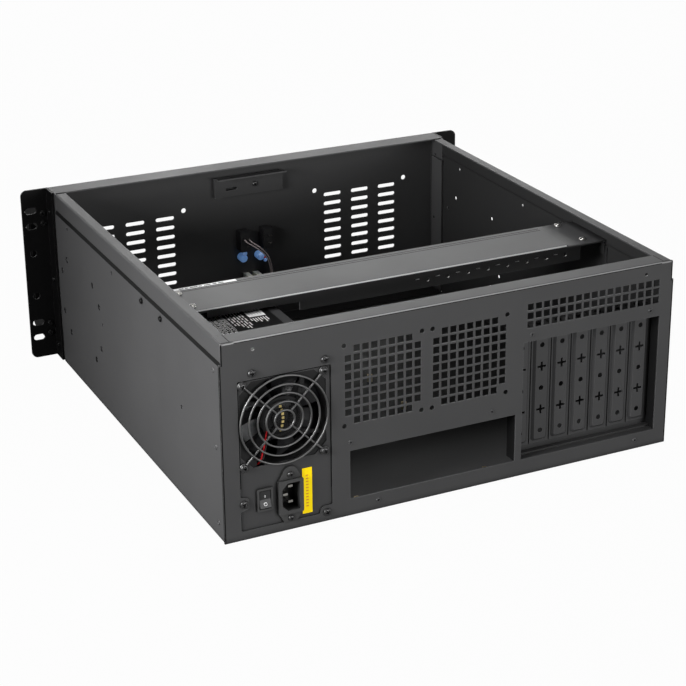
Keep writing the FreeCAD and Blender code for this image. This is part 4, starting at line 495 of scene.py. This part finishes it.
def cross_head():
    """Pan head of radius 1 on +Z, with a cross recess; its seat is z = 0."""
    profile = [(0, -0.3), (0.46, -0.3), (0.46, 0.0), (0.97, 0.0), (1.0, 0.04), (1.0, 0.14), (0.97, 0.24),
               (0.9, 0.38), (0.78, 0.5), (0.6, 0.58), (0.35, 0.615), (0, UNIT_HEAD)]
    head = bpy.data.objects.new("head", from_bmesh("head", lathe(profile, 28)))
    bm = bmesh.new()
    for turned in (False, True):
        rings = []
        for level, length, width in ((0.1, 0.3, 0.08), (0.75, 0.64, 0.19)):
            corners = [(-length, -width), (length, -width), (length, width), (-length, width)]
            rings.append([bm.verts.new((-y, x, level) if turned else (x, y, level)) for x, y in corners])
        foot, rim = rings
        bm.faces.new(foot[::-1])
        bm.faces.new(rim)
        for k in range(4):
            after = (k + 1) % 4
            bm.faces.new((foot[k], foot[after], rim[after], rim[k]))
    recess = bpy.data.objects.new("recess", from_bmesh("recess", bm))
    for obj in (head, recess):
        scene.collection.objects.link(obj)
    cut = head.modifiers.new("cut", "BOOLEAN")
    cut.operation = "DIFFERENCE"
    cut.solver = "EXACT"
    cut.use_self = True
    cut.object = recess
    bpy.context.view_layer.update()
    result = bpy.data.meshes.new_from_object(head.evaluated_get(bpy.context.evaluated_depsgraph_get()))
    for obj in (head, recess):
        bpy.data.objects.remove(obj)
    return result


def cross_screws(node, unit, material, axis, outward=False):
    """Detailed screws in place of a CAD group; their heads face along an axis, up or down it, or
    away from the case's middle."""
    line, way = axis
    bm = bmesh.new()
    for number, (low, high) in enumerate(islands(node)):
        middle = (low + high) / 2
        sign = math.copysign(1, middle[line]) if outward else way
        across = (line + 1) % 3
        radius = (high[across] - low[across]) / 2
        direction = Vector((0, 0, 0))
        direction[line] = sign
        seat = middle.copy()
        seat[line] = (high if sign > 0 else low)[line] - sign * SCREW_HEAD
        turn = Matrix.Rotation(number * 1.3 + 0.4, 4, "Z")
        scale = Matrix.Diagonal((radius, radius, SCREW_HEAD / UNIT_HEAD, 1))
        add_copy(bm, unit, Matrix.Translation(seat) @ aimed(direction) @ turn @ scale)
    name = node + "_crossed"
    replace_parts(link(name, from_bmesh(name, bm), material), node)


def pop_rivets(node, material):
    """Blind rivet heads: a low dome with the hole of its broken stem."""
    profile = [(0, -0.2), (0.3, -0.2), (0.36, 0.55), (0.45, 0.85), (0.62, 0.98), (0.8, 0.8), (0.94, 0.4),
               (1.0, 0.0), (0, 0.0)]
    unit = from_bmesh("rivet_unit", lathe(profile, 24))
    bm = bmesh.new()
    for low, high in islands(node):
        size = high - low
        line = min(range(3), key=lambda k: size[k])
        seat = (low + high) / 2
        direction = Vector((0, 0, 0))
        direction[line] = 1 if seat[line] > 0 else -1
        seat -= direction * size[line] / 2
        radius = size[(line + 1) % 3] / 2
        scale = Matrix.Diagonal((radius, radius, size[line], 1))
        add_copy(bm, unit, Matrix.Translation(seat) @ aimed(direction) @ scale)
    bpy.data.meshes.remove(unit)
    name = node + "_domed"
    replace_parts(link(name, from_bmesh(name, bm), material), node)


# number of the axis that the heads face along, and the way on it
ALONG_X, ALONG_Y, ALONG_Z, AGAINST_X = (0, 1), (1, 1), (2, 1), (0, -1)
head_mesh = cross_head()
cross_screws("psu_screws", head_mesh, screw_black, ALONG_Y)
cross_screws("guard_screws", head_mesh, screw_black, ALONG_Y)
cross_screws("inlet_screws", head_mesh, screw_black, ALONG_Y)
cross_screws("handle_screws", head_mesh, ear_black, ALONG_Y)
cross_screws("side_screws", head_mesh, ear_black, ALONG_X, outward=True)
cross_screws("crossbar_screws", head_mesh, screw_bright, ALONG_Z)
cross_screws("slot_cover_screws", head_mesh, ear_black, ALONG_Z)
cross_screws("psu_cover_screws", head_mesh, screw_black, AGAINST_X)
cross_screws("latch_screw", head_mesh, screw_black, ALONG_Y)
pop_rivets("rivets", case_black)


# ---------------------------------------------------------------- seams and shade lines
def both_sides(boxes):
    """The boxes, each followed by its mirror image on the case's other side."""
    pairs = []
    for low, high in boxes:
        pairs.append((low, high))
        pairs.append(((-high[0], *low[1:]), (-low[0], *high[1:])))
    return pairs


def panel_seam_shade():
    """Dark lines where the tub's walls meet the rear panel, partly seam gaps and partly painted shade, and
    painted shade below the panel's top fold.
    """
    thin_boxes("corner_seam_shade", both_sides([
        ((WALL, REAR - 0.0018, 0), (WALL + PROUD, REAR - 0.0004, SEAT_FOOT)),
        ((WALL - 0.0012, REAR, 0), (WALL - 0.0001, REAR + PROUD, SEAT_FOOT)),
        ((WALL - 0.0028, REAR, SEAT_FOOT), (WALL - 0.0016, REAR + PROUD, TOP - 0.0005)),
        ((WALL - 0.0125, REAR - 0.0012, TOP), (WALL - 0.0018, REAR - 0.0003, TOP + PROUD)),
        ((WALL - 0.0108, REAR - 0.0179, TOP), (WALL - 0.01, REAR - 0.0008, TOP + PROUD)),
    ]), shade_and_seam_dark)
    end = WALL - 0.013
    thin_boxes("top_fold_shade_line", [((-end, REAR, TOP - 0.0016), (end, REAR + PROUD, TOP - 0.0009))], shade_and_seam_dark)


def opening_shade():
    """Shade on the supply just inside the rear panel's opening, left out beside its lower screws."""
    low, high = node_box("psu_tray")
    left, right, foot, head = low.x + 0.0008, high.x - 0.0032, low.z + 0.0056, high.z - 0.0112
    back, front = high.y, high.y + PROUD
    thin_boxes("opening_shade", [
        ((right - 0.0014, back, 0.046), (right, front, head)),
        ((right - 0.001, back, foot), (right, front, 0.027)),
        ((left, back, head - 0.0014), (right, front, head)),
        ((left, back, 0.03), (left + 0.0008, front, head)),
    ], shade_and_seam_dark)


def bar_step_shade():
    """Painted shade: a dark double line along the crossbar's raised part."""
    raised_from, raised_to = 0.046 - WALL, bar_high.x - 0.0004
    top = bar_high.z
    thin_boxes("bar_step_shade", [((raised_from, y, top), (raised_to, y + 0.001, top + 0.00002))
                             for y in (bar_low.y + 0.0094, bar_low.y + 0.0132)], shade_and_seam_dark)


panel_seam_shade()
opening_shade()
bar_step_shade()


# ---------------------------------------------------------------- printed marks
def run_of(index, lengths):
    """One of a few lengths in millimetres, taken in turn."""
    return lengths[index % len(lengths)] / 1000


def supply_label():
    """Plain print on the supply's label: a white block with lines on it, rows of dashes and a table."""
    low, high = node_box("psu_label")
    left, right, near, far = low.x, high.x, low.y, high.y
    printed = high.z + 0.00004

    def field(x, y, x_end, y_end):
        return (x, y, high.z), (x_end, y_end, printed)

    block = field(left + 0.006, near + 0.004, left + 0.021, far - 0.026)
    rows = [block]
    for i in range(7):
        x = left + 0.007 + i * 0.0023
        rows.append(field(x, far - 0.023, x + 0.001, far - 0.012 - run_of(i, (3, 0, 5, 1, 4, 2, 6))))
    for i in range(6):
        x = left + 0.0245 + i * 0.0026
        y = near + 0.003
        for k in range(6):
            run = run_of(i * 3 + k * 2, (5.5, 7.5, 3.5, 6.5, 8.5, 4.5, 7.0))
            if y + run < far - 0.003:
                rows.append(field(x, y, x + 0.0011, y + run))
            y += run + 0.0022
    rows.append(field(right - 0.0035, near + 0.003, right - 0.0022, far - 0.004))
    for i in range(5):
        x = right - 0.021 + i * 0.004
        rows.append(field(x, near + 0.003, x + 0.0003, far - 0.004))
    for i in range(6):
        y = near + 0.003 + i * 0.009
        rows.append(field(right - 0.021, y, right - 0.0045, y + 0.0003))
        for k in range(4):
            x = right - 0.0202 + k * 0.004
            for j in range(3):
                run = run_of(i * 2 + k * 3 + j, (1.5, 2.6, 2.0, 1.1, 2.9))
                rows.append(field(x, y + 0.0015 + j * 0.0024, x + run, y + 0.0024 + j * 0.0024))
    thin_boxes("supply_label_print", rows, mark_white)
    lines = []
    for i in range(5):
        x = left + 0.0085 + i * 0.0025
        lines.append(((x, near + 0.007, printed), (x + 0.0005, far - 0.03, printed + 0.00002)))
    thin_boxes("supply_label_lines", lines, print_grey)


def strip_dashes():
    """Dashes along the crossbar's strip: (start, length) in millimetres from its +X end."""
    low, high = node_box("crossbar_label")
    y = (low.y + high.y) / 2
    dashes = []
    for start, run in ((5, 4), (10.5, 2.5), (15, 7), (23, 3), (28, 6), (36, 3.5), (41, 5)):
        x = high.x - start / 1000
        dashes.append(((x - run / 1000, y - 0.0009, high.z), (x, y + 0.0009, high.z + 0.00004)))
    thin_boxes("strip_print", dashes, label_dark)


def seal_dashes():
    """A column of dashes on the yellow seal."""
    low, high = node_box("seal_sticker")
    x = (low.x + high.x) / 2
    dashes = []
    for i in range(11):
        z = low.z + 0.006 + i * 0.0028
        dashes.append(((x - 0.0012, high.y, z), (x + 0.0012, high.y + PROUD, z + 0.0013)))
    thin_boxes("seal_print", dashes, seal_orange)


def hub_disc():
    """Dark paper disc on the fan's middle plate, with a bowed column of gold marks."""
    low, high = node_box("fan_frame")
    hub = (low + high) / 2
    hub.y = high.y - 0.001
    radius, thickness = 0.0158, 0.00016
    profile = [(0, 0), (radius, 0), (radius, 0.0001), (radius - 0.0002, thickness), (0, thickness)]
    disc = from_bmesh("hub_sticker", lathe(profile, 64))
    disc.transform(Matrix.Translation(hub) @ Matrix.Rotation(math.radians(-90), 4, "X"))
    link("hub_sticker", disc, hub_film)
    marks = []
    for i in range(7):
        z = hub.z + 0.0105 - i * 0.0035
        x = hub.x - 0.0005 + 0.0022 * (i / 6 - 0.5) ** 2 * 4
        marks.append(((x - 0.0011, hub.y + thickness, z - 0.0011), (x + 0.0011, hub.y + 0.0002, z + 0.0011)))
    thin_boxes("hub_print", marks, gold)


def rocker_marks():
    """The rocker's marks: a bar on its upper face and a ring on its lower one."""
    low, high = node_box("switch_bezel")
    thickness = 0.00005
    pivot = Vector(((low.x + high.x) / 2, REAR - 0.0018, (low.z + high.z) / 2))
    tilt = Matrix.Translation(pivot) @ Matrix.Rotation(math.radians(7), 4, "X")
    slope = math.atan2(1.2, 9.0)

    def on_face(lean, z):
        return (tilt @ Matrix.Translation((0, 0.002, 0)) @ Matrix.Rotation(lean, 4, "X")
                @ Matrix.Translation((0, 0, z)))

    bar = bmesh.new()
    bmesh.ops.create_cube(bar, size=1, matrix=Matrix.Diagonal((0.0005, thickness, 0.0026, 1)))
    bar_mesh = from_bmesh("rocker_bar", bar)
    bar_mesh.transform(on_face(-slope, 0.0026))
    link("rocker_bar", bar_mesh, mark_white, "rocker")

    steps = 32
    ring = bmesh.new()
    for radius in (0.0015, 0.00105):
        for k in range(steps):
            angle = 2 * math.pi * k / steps
            ring.verts.new((radius * math.cos(angle), 0, radius * math.sin(angle)))
    ring.verts.ensure_lookup_table()
    for k in range(steps):
        after = (k + 1) % steps
        ring.faces.new([ring.verts[i] for i in (k, after, steps + after, steps + k)])
    extruded = bmesh.ops.extrude_face_region(ring, geom=ring.faces[:])
    raised = [v for v in extruded["geom"] if isinstance(v, bmesh.types.BMVert)]
    bmesh.ops.translate(ring, verts=raised, vec=(0, thickness, 0))
    ring_mesh = from_bmesh("rocker_ring", ring)
    ring_mesh.transform(on_face(slope, -0.0042))
    link("rocker_ring", ring_mesh, mark_white, "rocker")


supply_label()
strip_dashes()
seal_dashes()
hub_disc()


# ---------------------------------------------------------------- small pieces of the front controls
def control_pieces():
    """Caps and a red bead behind the lamps' holders, and the push switches' terminals."""
    beads("lamp_caps", [(0.0122, -0.2138, 0.0778, 0.003), (-0.0066, -0.2136, 0.0724, 0.0034),
                        (-0.0112, -0.2138, 0.0672, 0.002)], led_blue)
    beads("red_bead", [(-0.0098, -0.2122, 0.0706, 0.0011)], lead_red)
    terminals = []
    for node in ("power_switch", "reset_switch"):
        low, high = node_box(node)
        x = (low.x + high.x) / 2
        for z in (low.z + 0.0075, low.z + 0.0155):
            terminals.append(((x - 0.0012, high.y, z), (x + 0.0012, high.y + 0.0031, z + 0.0007)))
    thin_boxes("switch_terminals", terminals, pin_metal)


control_pieces()
rocker_marks()


# ---------------------------------------------------------------- floor and backdrop
def seen_directly(tree, *rays):
    """1 for the named kinds of ray, 0 for light that falls on the object."""
    path = tree.nodes.new("ShaderNodeLightPath")
    seen = path.outputs[rays[0]]
    for ray in rays[1:]:
        either = tree.nodes.new("ShaderNodeMath")
        either.operation = "MAXIMUM"
        tree.links.new(seen, either.inputs[0])
        tree.links.new(path.outputs[ray], either.inputs[1])
        seen = either.outputs[0]
    return seen


def pale_floor(half=15.0, z=-0.0006):
    """Wide plain floor that looks nearly white and keeps a trace of the object's shadow."""
    mesh = bpy.data.meshes.new("floor")
    corners = [(-half, -half, z), (half, -half, z), (half, half, z), (-half, half, z)]
    mesh.from_pydata(corners, [], [(0, 1, 2, 3)])
    floor = bpy.data.objects.new("floor", mesh)
    scene.collection.objects.link(floor)
    material, tree, bsdf = new_material("floor_pale")
    bsdf.inputs["Base Color"].default_value = (0.15, 0.15, 0.15, 1)
    bsdf.inputs["Roughness"].default_value = 0.9
    glow = tree.nodes.new("ShaderNodeEmission")
    glow.inputs["Color"].default_value = (1, 1, 1, 1)
    glow.inputs["Strength"].default_value = 1.0
    share = tree.nodes.new("ShaderNodeMath")
    share.operation = "MULTIPLY"
    share.inputs[1].default_value = 0.975
    tree.links.new(seen_directly(tree, "Is Camera Ray"), share.inputs[0])
    blend = tree.nodes.new("ShaderNodeMixShader")
    tree.links.new(share.outputs[0], blend.inputs["Fac"])
    tree.links.new(bsdf.outputs[0], blend.inputs[1])
    tree.links.new(glow.outputs[0], blend.inputs[2])
    tree.links.new(blend.outputs[0], tree.nodes["Material Output"].inputs["Surface"])
    mesh.materials.append(material)


def studio_world():
    """White backdrop that lights the object only faintly."""
    world = bpy.data.worlds.new("studio")
    scene.world = world
    world.use_nodes = True
    tree = world.node_tree
    backdrop = tree.nodes["Background"]
    backdrop.inputs["Color"].default_value = (1, 1, 1, 1)
    level = tree.nodes.new("ShaderNodeMapRange")
    level.inputs["To Min"].default_value = 0.05
    level.inputs["To Max"].default_value = 1.0
    tree.links.new(seen_directly(tree, "Is Camera Ray", "Is Transmission Ray"), level.inputs["Value"])
    tree.links.new(level.outputs["Result"], backdrop.inputs["Strength"])


# ---------------------------------------------------------------- lamps and camera
def softbox(name, where, target, width, height, power, spread=180):
    """Rectangular lamp, unseen by the camera; its light spreads over so many degrees."""
    lamp = bpy.data.lights.new(name, "AREA")
    lamp.shape = "RECTANGLE"
    lamp.size = width
    lamp.size_y = height
    lamp.energy = power
    lamp.spread = math.radians(spread)
    obj = bpy.data.objects.new(name, lamp)
    obj.location = where
    obj.rotation_euler = (Vector(target) - Vector(where)).to_track_quat("-Z", "Y").to_euler()
    obj.visible_camera = False
    scene.collection.objects.link(obj)


def photo_camera(azimuth=153.142, elevation=21.241):
    """Camera behind the case, toward its +X side, looking down a little, with a small shift."""
    azimuth, elevation = math.radians(azimuth), math.radians(elevation)
    level = math.cos(elevation)
    toward = Vector((math.sin(azimuth) * level, -math.cos(azimuth) * level, math.sin(elevation)))
    right = Vector((math.cos(azimuth), math.sin(azimuth), 0))
    up = toward.cross(right)
    rear_foot = Vector((0, REAR, 0))
    spot = rear_foot + toward * 1.605776 + up * 0.163767 - right * 0.05725
    lens = bpy.data.cameras.new("camera")
    lens.lens = 97.71376
    lens.sensor_width = 36
    lens.shift_x = -0.0692
    lens.shift_y = -0.0623
    lens.clip_end = 100
    camera = bpy.data.objects.new("camera", lens)
    scene.collection.objects.link(camera)
    camera.matrix_world = Matrix.Translation(spot) @ Matrix((right, up, toward)).transposed().to_4x4()
    scene.camera = camera


pale_floor()
studio_world()
# soft lamps all round at a low height, so that the deep inside stays darker than the rims
softbox("rear_softbox", (-0.85, 2.5, 0.42), (-0.08, 0.1, 0.1), 1.4, 0.5, 35)
softbox("front_softbox", (0.1, -2.5, 0.6), (0, 0, 0.1), 2.0, 0.6, 12)
softbox("rim_softbox", (-1.2, -2.4, 0.95), (0, 0, 0.15), 1.4, 0.4, 13.5)
softbox("left_softbox", (0.85, 0.32, 0.36), (0.2, 0.15, 0.17), 0.4, 0.3, 2.5, spread=75)
softbox("right_softbox", (-2.6, 0.0, 0.5), (-0.1, 0, 0.1), 2.0, 0.5, 22)
softbox("high_softbox", (-0.1, 0.1, 2.6), (0, 0, 0.1), 1.2, 1.2, 30)
photo_camera()
